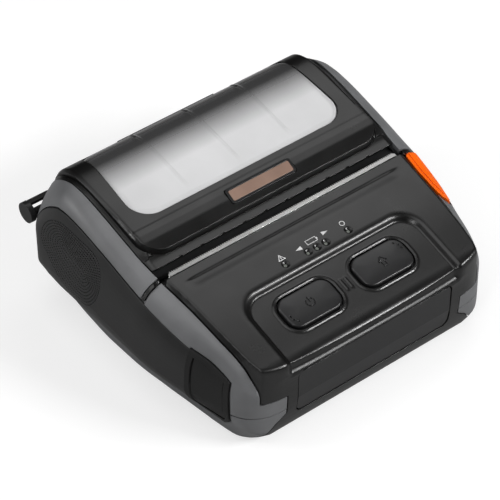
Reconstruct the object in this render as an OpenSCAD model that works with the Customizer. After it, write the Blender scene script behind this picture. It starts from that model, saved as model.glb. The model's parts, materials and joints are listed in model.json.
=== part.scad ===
// Mobile printer for 112 mm thermal paper, built up from its separate pieces.
// +X is the printer's right, +Y its rear and +Z up. The origin is the middle of the footprint,
// at the height of the surface that it stands on. All sizes are in millimetres.

/* [Covers] */
// Thickness of the outer covers
skin = 1.8; // [1.6:0.1:2]
// Thickness of the case behind the covers
case_wall = 3.2; // [3:0.1:3.4]
// Gap between neighbouring covers
seam_gap = 0.5; // [0.4:0.1:0.6]
// Height of the split between the upper and the lower case
split_z = 16.7; // [16.2:0.1:17.2]
// Depth of the recess that the buttons lie in
recess_d = 2.2; // [1.8:0.1:2.4]

/* [Paper path] */
// Width of the paper roll
paper_w = 112; // [110:1:112]
// Diameter of the paper roll
roll_d = 48; // [30:1:50]
// Diameter of the roll's core
core_d = 19; // [16:1:20]
// Radius of the roll bin
bin_r = 26.6; // [26.4:0.1:26.8]
// Radius of the platen roller
platen_r = 6; // [5.9:0.05:6]
// Length of the tear bar
tear_w = 116; // [115:0.5:117]

/* [Gears] */
// Tooth module
gear_m = 0.5; // [0.5:0.5:0.5]
// Teeth of the platen gear
platen_teeth = 24; // [24:1:24]
// Teeth of the idler gear
idler_teeth = 40; // [40:1:40]
// Teeth of the motor pinion
pinion_teeth = 14; // [14:1:14]
// Width of the gear faces
gear_w = 3.2; // [2.6:0.1:3.2]

/* [Controls] */
// Width of a button cap
cap_w = 26; // [24:0.5:26.5]
// Depth of a button cap
cap_d = 15; // [14:0.5:15.5]
// Distance of each button from the middle
cap_x = 18.5; // [18:0.1:19]
// Distance of the two outer lamps from the middle
lamp_x = 16; // [14:0.5:18]
// Spacing of the three middle lamps
lamp_pitch = 4.5; // [4:0.1:5]

/* [Battery] */
// Width of the battery pack
pack_w = 76; // [72:1:76]
// Depth of the battery pack
pack_l = 51; // [48:1:51]
// Height of the battery pack
pack_h = 21.5; // [20:0.5:22]

/* [Hidden] */
$fn = 48;

// The tables below are measured from the paper slot's middle plane. This moves them to the origin.
mid_y = 3.92;

// Places of the main axes, as [y, z]
hinge_at = [70.6, 38.2];
platen_at = [-2.6, 42.5];
latch_at = [2, 30];
bin_at = [33.9, 37.5];
roll_at = [bin_at[0], bin_at[1] - bin_r + roll_d / 2 + 0.3];
idler_reach = gear_m * (platen_teeth + idler_teeth) / 2;
pinion_reach = gear_m * (pinion_teeth + idler_teeth) / 2;
idler_turn = 266.5;
pinion_turn = 201;
idler_at = platen_at + idler_reach * [cos(idler_turn), sin(idler_turn)];
pinion_at = idler_at + pinion_reach * [cos(pinion_turn), sin(pinion_turn)];
gear_x = -65.4;
button_y = -48.4;
lamp_y = -30.1;

// The rounded lip under the button recess, its coarser inside, and the raised top surfaces,
// front to rear, as [y, z]
nose = [[-66.6, 33.2], [-68.2, 34.2], [-68.7, 36.4], [-67.8, 38.9], [-65.9, 40.7], [-63.4, 41.7]];
nose_inside = [[-67.4, 36.2], [-64.8, 40.9]];
top_line = [[-68.7, 37], [-66, 40.6], [-63.4, 41.7], [-60, 42.6], [-54, 44.3], [-48, 46],
    [-42, 47.6], [-36, 49.1], [-30, 50.5], [-18, 53], [-10, 54.3], [-5.5, 54.7], [0.8, 56.2],
    [2, 58.6], [4.5, 60.6], [8, 61.7], [14, 62.9], [25, 64.9], [38, 67.3], [44, 68.1], [48, 68.2],
    [52, 67.5], [55.2, 66.1], [58, 64], [61, 60.3], [63.3, 54.8], [64.7, 47.8], [65, 42]];
// The rest of the side profile: rear wall, floor and front face
lower_line = [[65, 34], [64, 22], [61.5, 12], [57, 4], [53, 1], [-61.3, 1], [-64.4, 8],
    [-66.4, 20]];
// Half of the plan outline, front to the rear corner's start, as [x, y]
plan_line = [[22, -68.4], [44, -66.9], [52, -65.2], [57.5, -62.6], [61.4, -58.7], [64, -53],
    [66.8, -46.5], [69.6, -39.5], [72.2, -32], [74, -22], [75, -8], [75, 52]];
corner_r = 13;
front_y = -68.8;
rear_y = 65;
// Half width and height of the edges that run from front to rear, against y
edge_x = [[-75, 53], [-64, 55], [-56, 56.4], [-48, 57.1], [-30, 58.3], [-12, 59.4], [0, 59.6],
    [2, 57.5], [5, 58.2], [65, 58.2]];
seam_x = [[-75, 52], [-64, 55], [-60, 56.7], [-52, 57.9], [-44, 58.6], [-36, 59.2], [-20, 60.1],
    [-12, 61.1], [0, 61.9], [5, 62.3], [65, 62.3]];
seam_z = [[-75, 20], [-66, 24], [-63, 30], [-60, 36], [-56, 40.4], [-52, 42.5], [-44, 44.9],
    [-36, 47.3], [-28, 49.1], [-20, 50.5], [-12, 52.8], [-5, 54.3], [0, 55.6], [5, 57.1],
    [15, 59.9], [25, 62.8], [35, 65.3], [40, 66.1], [45, 66.3], [48, 65.8], [51.7, 64.4],
    [55.3, 62.6], [59, 59.4], [62, 54.5], [64, 47.5], [65, 41]];
band_x = [[-75, 55], [-60, 61.2], [-56, 62.1], [-52, 62.8], [-48, 63.6], [-44, 64.4],
    [-40, 65.5], [-36, 66.7], [-28, 68.4], [-20, 69.6], [-10, 70.3], [66, 70.5]];
band_z = [[-75, 14], [-64, 18], [-60, 26], [-56, 30.9], [-52, 34.2], [-48, 36.3], [-44, 37.8],
    [-40, 38.8], [-36, 39.6], [-28, 42], [-20, 44.4], [-10, 47.2], [0, 49.9], [10, 52.8],
    [20, 55.4], [30, 57.7], [35, 58.5], [40, 58.9], [45, 58.5], [48, 57.2], [51.4, 55],
    [54.3, 52.5], [57.4, 49], [60.7, 43.6], [62.6, 39.2], [66, 36]];
side_x = [[-75, 55], [-60, 61.2], [-56, 63.2], [-50, 65.2], [-44, 67.2], [-38, 69.4], [-30, 72],
    [-20, 74], [-8, 75], [66, 75]];
// How far the side has come in again near its foot, then the half width lower down
hip_in = [[-75, 0.4], [44, 0.4], [52, 1.2], [60.7, 4], [66, 7]];
base_x = [[-75, 48], [-66, 54], [-63, 57], [-60, 59.2], [-56, 60.9], [-52, 61.4], [-46, 61.9],
    [-26, 63.7], [-10, 65.3], [7, 66.2], [28, 66.6], [45, 66.2], [52, 65.2], [60.7, 61.6], [66, 57]];
foot_x = [[-75, 20], [-66, 36], [-63, 45], [-60, 53.6], [-56, 58], [-52, 59.9], [-46, 60.9],
    [-26, 62.8], [7, 65.6], [20, 65.6], [35, 64.4], [45, 63.2], [55, 61], [66, 54]];
stations = [-75, -66, -63, -60, -56, -52, -48, -44, -40, -36, -28, -20, -12, -5, 0, 2, 5, 8, 15,
    25, 35, 40, 45, 48, 51.5, 55, 57.4, 60.7, 62.6, 64, 66];

// Half width of the button recess
recess_half = 42;
// Window opening in plan
window_front = 14.3;
window_rear = 59;
window_half = 52.4;
window_back_half = 50.4;

// Area of the side panels, seen from the side
panel_front = -34.6;
panel_rear = 61;
panel_low = 9;
// Area of the port cover, seen from the side
port_rear = -35.2;
port_front = -53.8;
port_low = 8.6;
// Front plate in the front face
plate_half = 39;
plate_low = 11.4;
plate_high = 33.8;
// Lower edge of the black front face beside the grey corners
face_half = 44;
face_low = 24.2;

// Small geometry helpers

function reversed(list) = [for (i = [len(list) - 1 : -1 : 0]) list[i]];
function left_normal(a, b) = let (d = b - a) [-d[1], d[0]] / norm(d);
// Moves each corner of a clockwise outline inwards by t
function inset(outline, t) = [for (i = [0 : len(outline) - 1])
    let (n = len(outline), here = outline[i],
        u = left_normal(outline[(i + n - 1) % n], here), v = left_normal(here, outline[(i + 1) % n]))
    here - t * (u + v) / (1 + u * v)];
// Rounded rectangle as points, centred
function rounded(w, h, r, steps = 6) = [for (q = [0 : 3], i = [0 : steps])
    let (a = 90 * q + 90 * i / steps, sx = (q == 0 || q == 3) ? 1 : -1, sy = q < 2 ? 1 : -1)
    [sx * (w / 2 - r) + r * cos(a), sy * (h / 2 - r) + r * sin(a)]];
// Slope of the top surface at depth y, in degrees
function slope_at(y) = atan2(lookup(y + 3, top_line) - lookup(y - 3, top_line), 6);

module place() { translate([0, -mid_y, 0]) children(); }
module both() {
    children();
    mirror([1, 0, 0]) children();
}
// Draws a side view, y across and z up, from x = a to x = b
module along_x(a, b) { translate([a, 0, 0]) rotate([90, 0, 90]) linear_extrude(b - a) children(); }
// Draws a front view, x across and z up, from y = a to y = b
module along_y(a, b) { translate([0, b, 0]) rotate([90, 0, 0]) linear_extrude(b - a) children(); }
module rod_x(at, r, a, b) { translate([a, at[0], at[1]]) rotate([0, 90, 0]) cylinder(r = r, h = b - a); }
module box(low, high) { translate(low) cube(high - low); }
// Puts children on the front panel's surface at x and y, tilted with it
module on_panel(x, y) {
    translate([x, y, lookup(y, top_line)]) rotate([slope_at(y), 0, 0]) children();
}

// The outer form, from which all covers are cut

function side_ring(y, t) = let (
        top = lookup(y, top_line), ex = lookup(y, edge_x), sx = lookup(y, seam_x),
        sz = lookup(y, seam_z), bx = lookup(y, band_x), bz = lookup(y, band_z),
        mx = lookup(y, side_x), fx = lookup(y, base_x), gx = lookup(y, foot_x), drop = bz - 9)
    [[ex - t, 95], [ex - t, top - t], [sx - t, sz - t], [(sx + bx) / 2 + 0.8 - t, (sz + bz) / 2 + 1.2 - t],
    [bx - t, bz - t], [bx + 0.75 * (mx - bx) - t, bz - 0.2 * drop], [mx - t, bz - 0.48 * drop],
    [mx - lookup(y, hip_in) - t, bz - 0.75 * drop], [fx - t, 8], [gx - t, 1], [gx - 3 - t, -5]];
// Three-dimensional points of the ring at depth y: the right side downwards, then the left
function full_ring(y, t) = let (half = side_ring(y, t))
    [for (s = [1, -1], p = half) [s * p[0], y, p[1]]];
module side_loft(t, a, b) {
    used = [for (y = stations) if (y >= a && y <= b) y];
    last = len(used) - 1;
    m = len(side_ring(0, 0));
    n = 2 * m;
    // the ring's order round the form: down the right side and up the left
    around = concat([for (j = [0 : m - 1]) j], [for (j = [n - 1 : -1 : m]) j]);
    polyhedron(
        points = [for (y = used) each full_ring(y, t)],
        faces = concat(
            [for (j = [0 : m - 2], half = [0, 1])
                half == 0 ? [j, j + 1, m + j + 1] : [j, m + j + 1, m + j]],
            [for (j = [0 : m - 2], half = [0, 1]) let (o = last * n)
                half == 0 ? [o + j, o + m + j + 1, o + j + 1] : [o + j, o + m + j, o + m + j + 1]],
            [for (i = [0 : last - 1], j = [0 : n - 1], half = [0, 1])
                let (k = around[(j + 1) % n], p = i * n + around[j], q = (i + 1) * n + k)
                half == 0 ? [p, p + n, q] : [p, q, i * n + k]]));
}
top_rest = [for (p = top_line) if (p[0] >= -60) p];
// Side profile, t inside the true surface
function profile(t) = inset(concat(t < 1 ? nose : nose_inside, top_rest, lower_line), t);
corner = [for (i = [1 : 5]) [75 - corner_r, 52] + corner_r * [cos(18 * i), sin(18 * i)]];
plan_right = concat([[0, front_y]], plan_line, corner, [[0, rear_y]]);
plan = reversed(concat(plan_right, [for (i = [len(plan_right) - 2 : -1 : 1])
    [-plan_right[i][0], plan_right[i][1]]]));

// The outer form t millimetres inside the true surface, made from the stations between a and b
module form(t, a = -80, b = 80) {
    intersection() {
        side_loft(t, a, b);
        along_x(-90, 90) polygon(profile(t));
        translate([0, 0, -5]) linear_extrude(90) polygon(inset(plan, t));
    }
}
module skin_of(outer, inner, a = -80, b = 80) {
    difference() {
        form(outer, a, b);
        form(inner, a, b);
    }
}
// The same for pieces in the flat middle, which don't reach the sides
module middle_skin_of(outer, inner) {
    difference() {
        intersection() {
            along_x(-60, 60) polygon(profile(outer));
            translate([0, 0, -5]) linear_extrude(90) polygon(inset(plan, outer));
        }
        intersection() {
            along_x(-61, 61) polygon(profile(inner));
            translate([0, 0, -6]) linear_extrude(92) polygon(inset(plan, inner));
        }
    }
}

// Regions that the form is cut up by

// Side view of everything above the lid's parting line, moved down by g
module lid_side_view(g) {
    y0 = -9.6 - g;
    polygon(concat([[y0, 100], [y0, lookup(y0, band_z) - g]],
        [for (p = band_z) if (p[0] > y0 && p[0] < 65) [p[0], p[1] - g]],
        [[90, 39.2 - g], [90, 100]]));
}
// Plan view between the two seams of black and grey, made wider by g
module between_seams(g, a, b) {
    ys = concat([a], [for (p = seam_x) if (p[0] > a && p[0] < b) p[0]], [b]);
    polygon(concat([for (y = ys) [lookup(y, seam_x) + g, y]],
        [for (y = reversed(ys)) [-lookup(y, seam_x) - g, y]]));
}
// Where the black front panel lies: the top and the middle of the front face
module panel_region(g) {
    box_top = 100;
    translate([0, 0, face_low - g]) linear_extrude(box_top - face_low)
        between_seams(g, -80, -10.4 + g);
    along_y(-80, -55) polygon([[-face_half - g, 40], [-face_half - g, 14.5], [-49 - g, 10.5],
        [-55 - g, 3 - g], [55 + g, 3 - g], [49 + g, 10.5], [face_half + g, 14.5], [face_half + g, 40]]);
}
// Side view of a side panel, made larger by g
module side_panel_view(g) {
    ys = concat([panel_front - g], [for (p = band_z) if (p[0] > panel_front && p[0] < panel_rear) p[0]],
        [panel_rear + g]);
    polygon(concat([for (y = ys) [y, lookup(y, band_z) - 1.1 + g]],
        [[panel_rear + g, 20], [57 + g, 14], [50 + g, panel_low - g], [panel_front - g, panel_low - g]]));
}
// Side view of the port cover, made larger by g
module port_view(g) {
    ys = [port_front - g, -52, -48, -44, -40, port_rear + g];
    polygon(concat([for (y = ys) [y, lookup(y, band_z) + g]],
        [[port_rear + g, port_low + 1 - g], [port_rear - 2, port_low - g], [-50, port_low - g],
        [port_front - g, port_low + 4]]));
}
// Plan view of the release lever, made larger by g
module lever_view(g) {
    inner = [[-11.2 + g, 61.6], [-20, 60.9], [-28, 60.4], [-33, 60.4], [-36, 61.4]];
    outer = [[-37.4, 63], [-36.6, 64.2], [-28, 66.3], [-20, 67.5]];
    polygon(concat([for (p = inner) [p[1] - g, p[0]]], [[63 - g, -37.4 - 1.4 * g]],
        [for (p = outer) [p[1] + g, p[0] - 1.4 * g]], [[68.1 + g, -11.2 + g]]));
}
// Room that the lever sweeps through below the surface as it is pressed down
module lever_well() {
    for (turn = [0 : 2 : 8]) translate([0, latch_at[0], latch_at[1]]) rotate([turn, 0, 0])
        translate([0, -latch_at[0], -latch_at[1]]) intersection() {
            form(-0.75, -45, 0);
            translate([0, 0, 33]) linear_extrude(30) lever_view(0.5);
        }
}
module window_view(g) {
    r = 10;
    steps = 6;
    front = [for (i = [0 : steps]) let (a = 90 * i / steps)
        [window_half - r + r * sin(a), window_front + r - r * cos(a)]];
    right = concat(front, [[window_back_half, window_rear - 3], [window_back_half - 3, window_rear]]);
    offset_out = [for (p = right) [p[0] + g, p[1] + (p[1] > 40 ? g : -g)]];
    polygon(concat(offset_out, [for (p = reversed(offset_out)) [-p[0], p[1]]]));
}

// Case

// Everything that is cut from the case: lid, front panel, lever and the covers' shallow seats
module case_cuts() {
    along_x(-90, 90) lid_side_view(seam_gap);
    panel_region(0.3);
    translate([0, 0, 30]) linear_extrude(40) lever_view(0.8);
    lever_well();
    box([-70, -53, 13.5], [-50, -37, 27.5]);
    difference() {
        union() {
            along_x(-90, 90) side_panel_view(0.4);
            along_x(-90, -50) port_view(0.4);
        }
        form(skin + 0.2);
    }
}
module upper_case() {
    color("dimgray") place() difference() {
        form(0);
        difference() {
            form(case_wall);
            both() for (p = boss_spots) {
                translate([p[0], p[1], 10]) cylinder(r = 3.3, h = p[2] - 10);
                if (p[1] > 0) box([p[0], p[1] - 0.8, 10], [75, p[1] + 0.8, p[2]]);
            }
        }
        case_cuts();
        box([-90, -90, -10], [90, 90, split_z]);
        both() for (p = boss_spots) translate([p[0], p[1], 10]) cylinder(r = 1.3, h = p[2] - 12);
        both() box([42.2, 60, 38], [57, 70, 47]);
        rod_x(platen_at, 7.2, -66.3, -60);
    }
}
// Screw bosses between the two cases, as [x, y, top]
boss_spots = [[54.5, -57, 23.4], [62.3, 18, 26]];
foot_spots = [[-49, -45.5], [49, -45.5], [-51, 45], [51, 45]];
module lower_case() {
    color("dimgray") place() difference() {
        union() {
            difference() {
                intersection() {
                    form(0);
                    box([-90, -90, -10], [90, 90, split_z - 0.15]);
                }
                difference() {
                    form(case_wall);
                    both() for (p = boss_spots) translate([p[0], p[1], 0]) cylinder(r = 3.8, h = 30);
                }
            }
            battery_bay();
        }
        case_cuts();
        box([-pack_w / 2 - 0.5, -53, 0], [pack_w / 2 + 0.5, -1, 23.4]);
        box([-9.2, -60.4, 0], [9.2, -52, 3.3]);
        both() for (p = boss_spots) translate([p[0], p[1], 0]) {
            cylinder(r = 1.7, h = 30);
            cylinder(r = 3, h = 8.2);
        }
        for (p = foot_spots) translate([p[0], p[1], 0]) cylinder(r = 5.2, h = 2);
    }
}
module battery_bay() {
    difference() {
        box([-41, -55.2, 2], [41, 1.2, 25]);
        for (x = [-12, -4, 4, 12]) box([x - 1.6, -6, 20], [x + 1.6, -2, 30]);
    }
}
module front_panel() {
    color("black") place() difference() {
        union() {
            intersection() {
                skin_of(0, 2, -80, 0);
                panel_region(0);
            }
            // the tub round the button recess
            intersection() {
                along_x(-recess_half - 1.8, recess_half + 1.8) difference() {
                    polygon(profile(1));
                    polygon(profile(recess_d + 1.8));
                }
                box([-60, -70, 34.4], [60, -34, 60]);
            }
        }
        recess_cut();
        plate_cut(0.3);
        panel_holes();
        box([-58.9, -10.9, 40], [58.9, 0, 60]);
    }
}
// The button recess, open to the front over the lip
module recess_cut() {
    intersection() {
        along_x(-60, 60) difference() {
            polygon([[-90, 33.9], [-90, 90], [-30, 90], [-30, 33.9]]);
            polygon(profile(recess_d));
        }
        translate([0, -66, 30]) linear_extrude(60) polygon(rounded(2 * recess_half, 60.6, 8));
    }
}
module plate_cut(g) {
    along_y(-80, -60) translate([0, (plate_low + plate_high) / 2])
        polygon(rounded(2 * (plate_half + g), plate_high - plate_low + 2 * g, 3));
}
module panel_holes() {
    for (x = [-cap_x, cap_x]) on_panel(x, button_y) translate([0, 0, -8]) linear_extrude(10)
        polygon(rounded(cap_w + 0.7, cap_d + 0.7, 5.3));
    for (x = [-lamp_x, -lamp_pitch, 0, lamp_pitch, lamp_x])
        on_panel(x, lamp_y) translate([0, 0, -6]) cylinder(r = 0.85, h = 10);
}
module front_plate() {
    color("#2c2c2e") place() intersection() {
        middle_skin_of(0.3, 2.2);
        plate_cut(0);
    }
}
module side_panel(s) {
    color("#1a1a1b") place() intersection() {
        skin_of(0, skin, -45, 80);
        along_x(s < 0 ? -90 : 50, s < 0 ? -50 : 90) side_panel_view(0);
    }
}
module side_panel_left() { side_panel(-1); }
module side_panel_right() {
    difference() {
        side_panel(1);
        color("#1a1a1b") place() lever_well();
    }
}
module port_cover() {
    color("#161616") place() difference() {
        intersection() {
            skin_of(-0.5, skin - 0.2, -66, -20);
            along_x(-90, -50) port_view(0);
        }
        // the inner step stands back from the rim, so that the flap swings clear of its seat
        difference() {
            form(0.4, -66, -20);
            along_x(-91, -49) port_view(-1.2);
        }
    }
}
module tear_bar() {
    teeth = floor(tear_w) - 2;
    color("silver") place() {
        translate([0, 0, 53.9]) linear_extrude(0.6) polygon(concat(
            [[-tear_w / 2, -10.8], [-tear_w / 2, -9.2]],
            [for (i = [0 : teeth - 1]) each [[i - teeth / 2, -9.2], [i - teeth / 2 + 0.5, -8.5]]],
            [[teeth / 2, -9.2], [tear_w / 2, -9.2], [tear_w / 2, -10.8]]));
        box([-tear_w / 2, -10.8, 50.3], [tear_w / 2, -10, 53.9]);
    }
}
module button_cap(x) {
    color("#202022") place() on_panel(x, button_y) {
        translate([0, 0, -4.4]) linear_extrude(3.2) polygon(rounded(cap_w, cap_d, 5));
        translate([0, 0, -5.6]) linear_extrude(1.2) polygon(rounded(cap_w + 2.4, cap_d + 2.4, 6));
    }
}
module power_button() { button_cap(-cap_x); }
module feed_button() { button_cap(cap_x); }
module lamp_lenses() {
    color("#b9c4b0") place() for (x = [-lamp_x, -lamp_pitch, 0, lamp_pitch, lamp_x])
        on_panel(x, lamp_y) translate([0, 0, -5]) cylinder(r = 0.75, h = 4.8);
}

// Cover latch

module release_lever() {
    color("orangered") place() {
        intersection() {
            skin_of(-0.7, 1.6, -45, 0);
            translate([0, 0, 30]) linear_extrude(40) lever_view(0);
        }
        difference() {
            along_x(62.6, 64.8) polygon([[-24, 46.6], [-14, 48.6], [6, 31], [3, 26.5], [-1, 27]]);
            rod_x(latch_at, 2, 60, 70);
        }
    }
}
module latch_shaft() { color("silver") place() rod_x(latch_at, 2, -61.8, 64.8); }
module latch_hooks() {
    color("silver") place() both() difference() {
        along_x(57, 58.4) polygon([[4.6, 27.6], [-0.8, 27.4], [-10.6, 36.5], [-10.6, 48.2], [-9.2, 49],
            [-6.35, 46.7], [-6.35, 46.1], [-8.3, 46.1], [-8.3, 38.3], [-6, 36.6], [5, 32.6]]);
        rod_x(latch_at, 2, 50, 70);
    }
}
module latch_spring() {
    color("silver") place() {
        difference() {
            rod_x(latch_at, 3, 46, 52);
            rod_x(latch_at, 2.3, 40, 60);
        }
        rod_x([latch_at[0] - 2.4, latch_at[1] - 1.4], 0.5, 38, 52);
    }
}

// Lid

module lid_shell(a, b) {
    intersection() {
        skin_of(a, b, -20, 80);
        along_x(-90, 90) lid_side_view(0);
    }
}
module lid_cover() {
    color("#1b1b1c") place() difference() {
        intersection() {
            lid_shell(0, 2);
            linear_extrude(100) between_seams(-0.15, -30, 80);
        }
        box([-59.2, -20, 40], [59.2, -5.8, 60]);
        translate([0, 0, 50]) linear_extrude(30) window_view(0.3);
        for (i = [0 : 9]) translate([(i - 4.5) * 10.6 - 0.8, -8, 50]) cube([1.6, 3.9, 10]);
        badge_block(0.15);
        both() box([42.2, 55, 36], [49.8, 70, 46.6]);
        both() for (y = lid_screw_y) translate([lid_screw_x, y, 50]) cylinder(r = 1.05, h = boss_top(y) - 50.8);
    }
    color("#1b1b1c") place() both() for (y = lid_screw_y) difference() {
        low = lookup(y, top_line) - 5.9;
        translate([lid_screw_x, y, low]) cylinder(r = 1.9, h = boss_top(y) - low);
        translate([lid_screw_x, y, low - 1]) cylinder(r = 1.05, h = boss_top(y) - low + 0.2);
    }
    // thin finger lip across the back
    color("#1b1b1c") place() rod_x([61.3, 59.7], 0.9, -29, 20);
}
module badge_block(g) {
    translate([0, 5.2, 61.1]) rotate([27, 0, 0]) translate([0, 0, -1.2 - g])
        linear_extrude(1.7 + g) polygon(rounded(32.6 + 2 * g, 6.8 + 2 * g, 1.2));
}
module badge_plate() { color("#5a5552") place() badge_block(0); }
module lid_shoulder(s) {
    color("gray") place() intersection() {
        lid_shell(0, 2);
        difference() {
            box([s < 0 ? -90 : 40, -30, 20], [s < 0 ? -40 : 90, 90, 100]);
            linear_extrude(120) between_seams(0.15, -40, 100);
        }
    }
}
module lid_shoulder_left() { lid_shoulder(-1); }
module lid_shoulder_right() { lid_shoulder(1); }
module window() {
    color([0.5, 0.5, 0.5, 0.5]) place() intersection() {
        middle_skin_of(0.1, 1.8);
        translate([0, 0, 40]) linear_extrude(50) window_view(0);
    }
}
// Inner liner of the lid: two rails, the front beam, the platen brackets and the hinge arms
module lid_frame() {
    rail = [for (p = seam_z) if (p[0] > 4 && p[0] < 58) [p[0], p[1] - 2.6]];
    color("#242426") place() difference() {
        union() {
            both() along_x(58.9, 60.6) polygon(concat([[-4.6, 50.6], [2, 51.6]],
                rail,
                [[60.8, 50], [60.8, 44], [58.6, 44], [56, 50]],
                [for (p = reversed(rail)) if (p[0] < 54) [p[0], p[1] - 6.4]],
                [[1.5, 45.5], [1.5, 38.6], [-6.2, 38.6], [-6.2, 45], [-5.5, 50.6]]));
            box([-60.6, -5.4, 49.2], [60.6, -3.4, 51]);
            box([-60.6, -3.4, 50], [60.6, 1.5, 51]);
            box([-60.6, 60.4, 43], [60.6, 62, 47.6]);
            both() along_x(42.6, 49.4) polygon([[60.6, 41.5], [60.6, 46], [65.6, 46], [72, 41.2],
                [72, 37.8], [68.2, 37.4]]);
            both() rod_x(hinge_at, 3.2, 42.6, 49.4);
            both() for (y = lid_screw_y) translate([lid_screw_x, y, lookup(y, top_line) - 9]) {
                cylinder(r = 1.9, h = 3);
                box([0, -0.8, 0], [2, 0.8, 2.4]);
            }
        }
        both() rod_x(hinge_at, 1.55, 40, 52);
        both() rod_x(platen_at, 2.95, 50, 70);
        both() for (y = lid_screw_y) translate([lid_screw_x, y, lookup(y, top_line) - 10]) {
            cylinder(r = 1.05, h = 9);
            translate([0, 0, -4]) cylinder(r = 1.95, h = 5);
            translate([0, 0, 4.05]) cylinder(r = 2, h = 6);
        }
    }
}
lid_screw_x = 58;
lid_screw_y = [14, 46];
// Height at which the cover's screw bosses end, inside the skin
function boss_top(y) = let (front = y - 2.2, fall = lookup(front, top_line) - lookup(front, seam_z))
    lookup(front, top_line) - 0.45 * fall - 0.3;
module lid_screws() {
    color("silver") place() both() for (y = lid_screw_y) {
        low = lookup(y, top_line) - 10.2;
        translate([lid_screw_x, y, low]) cylinder(r = 1, h = boss_top(y) - 1 - low);
        translate([lid_screw_x, y, low]) cylinder(r = 1.8, h = 1.1);
    }
}
module platen_shaft() { color("silver") place() rod_x(platen_at, 2, gear_x - 0.8, 61.6); }
module platen_rubber() {
    color("#202020") place() difference() {
        rod_x(platen_at, platen_r, -paper_w / 2 - 0.3, paper_w / 2 + 0.3);
        rod_x(platen_at, 2, -70, 70);
    }
}
module platen_bushings() {
    color("#8a8468") place() both() difference() {
        union() {
            rod_x(platen_at, 3.2, 56.9, 58.85);
            rod_x(platen_at, 2.9, 58.85, 60.65);
        }
        rod_x(platen_at, 2.05, 50, 70);
    }
}

// Gear train

// Outline of a spur gear with straight-sided teeth, a tooth pointing along the first axis
function gear_outline(teeth, turn) = let (pitch_r = gear_m * teeth / 2, step = 360 / teeth)
    [for (i = [0 : teeth - 1], p = [[-0.36, -1.2], [-0.215, 0], [-0.11, 0.9], [0.11, 0.9], [0.215, 0], [0.36, -1.2]])
        let (r = pitch_r + p[1] * gear_m, a = turn + step * (i + p[0])) r * [cos(a), sin(a)]];
module gear(at, teeth, turn, x, bore) {
    translate([x, at[0], at[1]]) rotate([90, 0, 90]) difference() {
        linear_extrude(gear_w) polygon(gear_outline(teeth, turn));
        translate([0, 0, -1]) cylinder(r = bore, h = gear_w + 2);
    }
}
// A tooth of the idler points at the platen gear, which has a gap there
idler_phase = idler_turn + 180;
module platen_gear() {
    color("ivory") place() gear(platen_at, platen_teeth, idler_turn + 180 / platen_teeth, gear_x, 2);
}
module idler_gear() { color("ivory") place() gear(idler_at, idler_teeth, idler_phase, gear_x, 1.55); }
module idler_stud() {
    color("silver") place() {
        rod_x(idler_at, 1.5, gear_x - 0.6, -60.2);
        rod_x(idler_at, 2.6, gear_x - 1.2, gear_x - 0.2);
        rod_x(idler_at, 2.6, -62, -61.4);
    }
}
// Angle of the idler's nearest tooth, seen from the pinion, which gets a gap there
idler_miss = (pinion_turn - idler_phase) * idler_teeth / 360;
pinion_phase = pinion_turn + 180 + (0.5 + idler_miss - floor(idler_miss)) * 360 / pinion_teeth;
module motor_pinion() {
    color("silver") place() {
        gear(pinion_at, pinion_teeth, pinion_phase, gear_x, 1);
        rod_x(pinion_at, 1, gear_x, -56);
    }
}
module stepper_motor() {
    color("#a8a8a8") place() difference() {
        union() {
            rod_x(pinion_at, 10, -59.8, -43);
            rod_x(pinion_at, 3.8, -61.6, -59.8);
        }
        rod_x(pinion_at, 1.05, -70, -50);
    }
}

// Print station

module print_frame() {
    color("lightsteelblue") place() difference() {
        union() {
            box([-57.2, -20, 33.2], [57.2, -18.8, 49.6]);
            box([-61.2, -20, 33.2], [61.2, -18.8, 45.6]);
            along_x(-61.2, -60) polygon([[-20, 45.6], [-20, 33.4], [-28, 30], [-28, 10], [5.4, 10],
                [5.4, 37.6], [-11, 37.6], [-11, 46.4]]);
            along_x(60, 61.2) polygon([[-20, 45.6], [-20, 24], [5.4, 24], [5.4, 37.6], [-11, 37.6],
                [-11, 46.4]]);
        }
        rod_x(latch_at, 2.05, -70, 70);
        rod_x(idler_at, 1.55, -70, -50);
        rod_x(pinion_at, 4, -70, -50);
        for (x = screw_x) translate([x, -30, 46.5]) rotate([-90, 0, 0]) cylinder(r = 1.25, h = 20);
    }
}
screw_x = [-50, -20, 20, 50];
module frame_screws() {
    color("silver") place() for (x = screw_x) translate([x, -21.6, 46.5]) rotate([-90, 0, 0]) {
        cylinder(r = 2.2, h = 1.6);
        cylinder(r = 1.2, h = 3.4);
    }
}
module print_head() {
    color("#9a9da2") place() {
        box([-55, -15, 35.6], [55, -12, 49.4]);
        for (z = [36.2 : 3 : 48.2]) box([-55, -12.1, z], [55, -10, z + 1.2]);
        box([-55, -12.2, 39.6], [55, -9.9, 45.4]);
    }
}
module heater_strip() {
    color("#d8d4c4") place() {
        box([-54, -9.9, 38], [54, -9, 47]);
        translate([-54, 0, 0]) box([0, -9, 42.2], [108, -8.7, 42.8]);
    }
}
module head_springs() {
    color("silver") place() for (x = [-40, 0, 40]) translate([x, -18.8, 42]) rotate([-90, 0, 0]) difference() {
        cylinder(r = 2.4, h = 2.8);
        translate([0, 0, -1]) cylinder(r = 1.7, h = 5);
    }
}
module head_cable() {
    color("#c8a050") place() along_x(-30, 30) polygon([[-16.3, 39.4], [-16, 39.4], [-16, 30.6], [-24, 29.2],
        [-27, 29.2], [-27, 28.3], [-28, 28.3], [-28, 29.5], [-24.2, 29.5], [-16.3, 30.9]]);
}

// Paper

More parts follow.
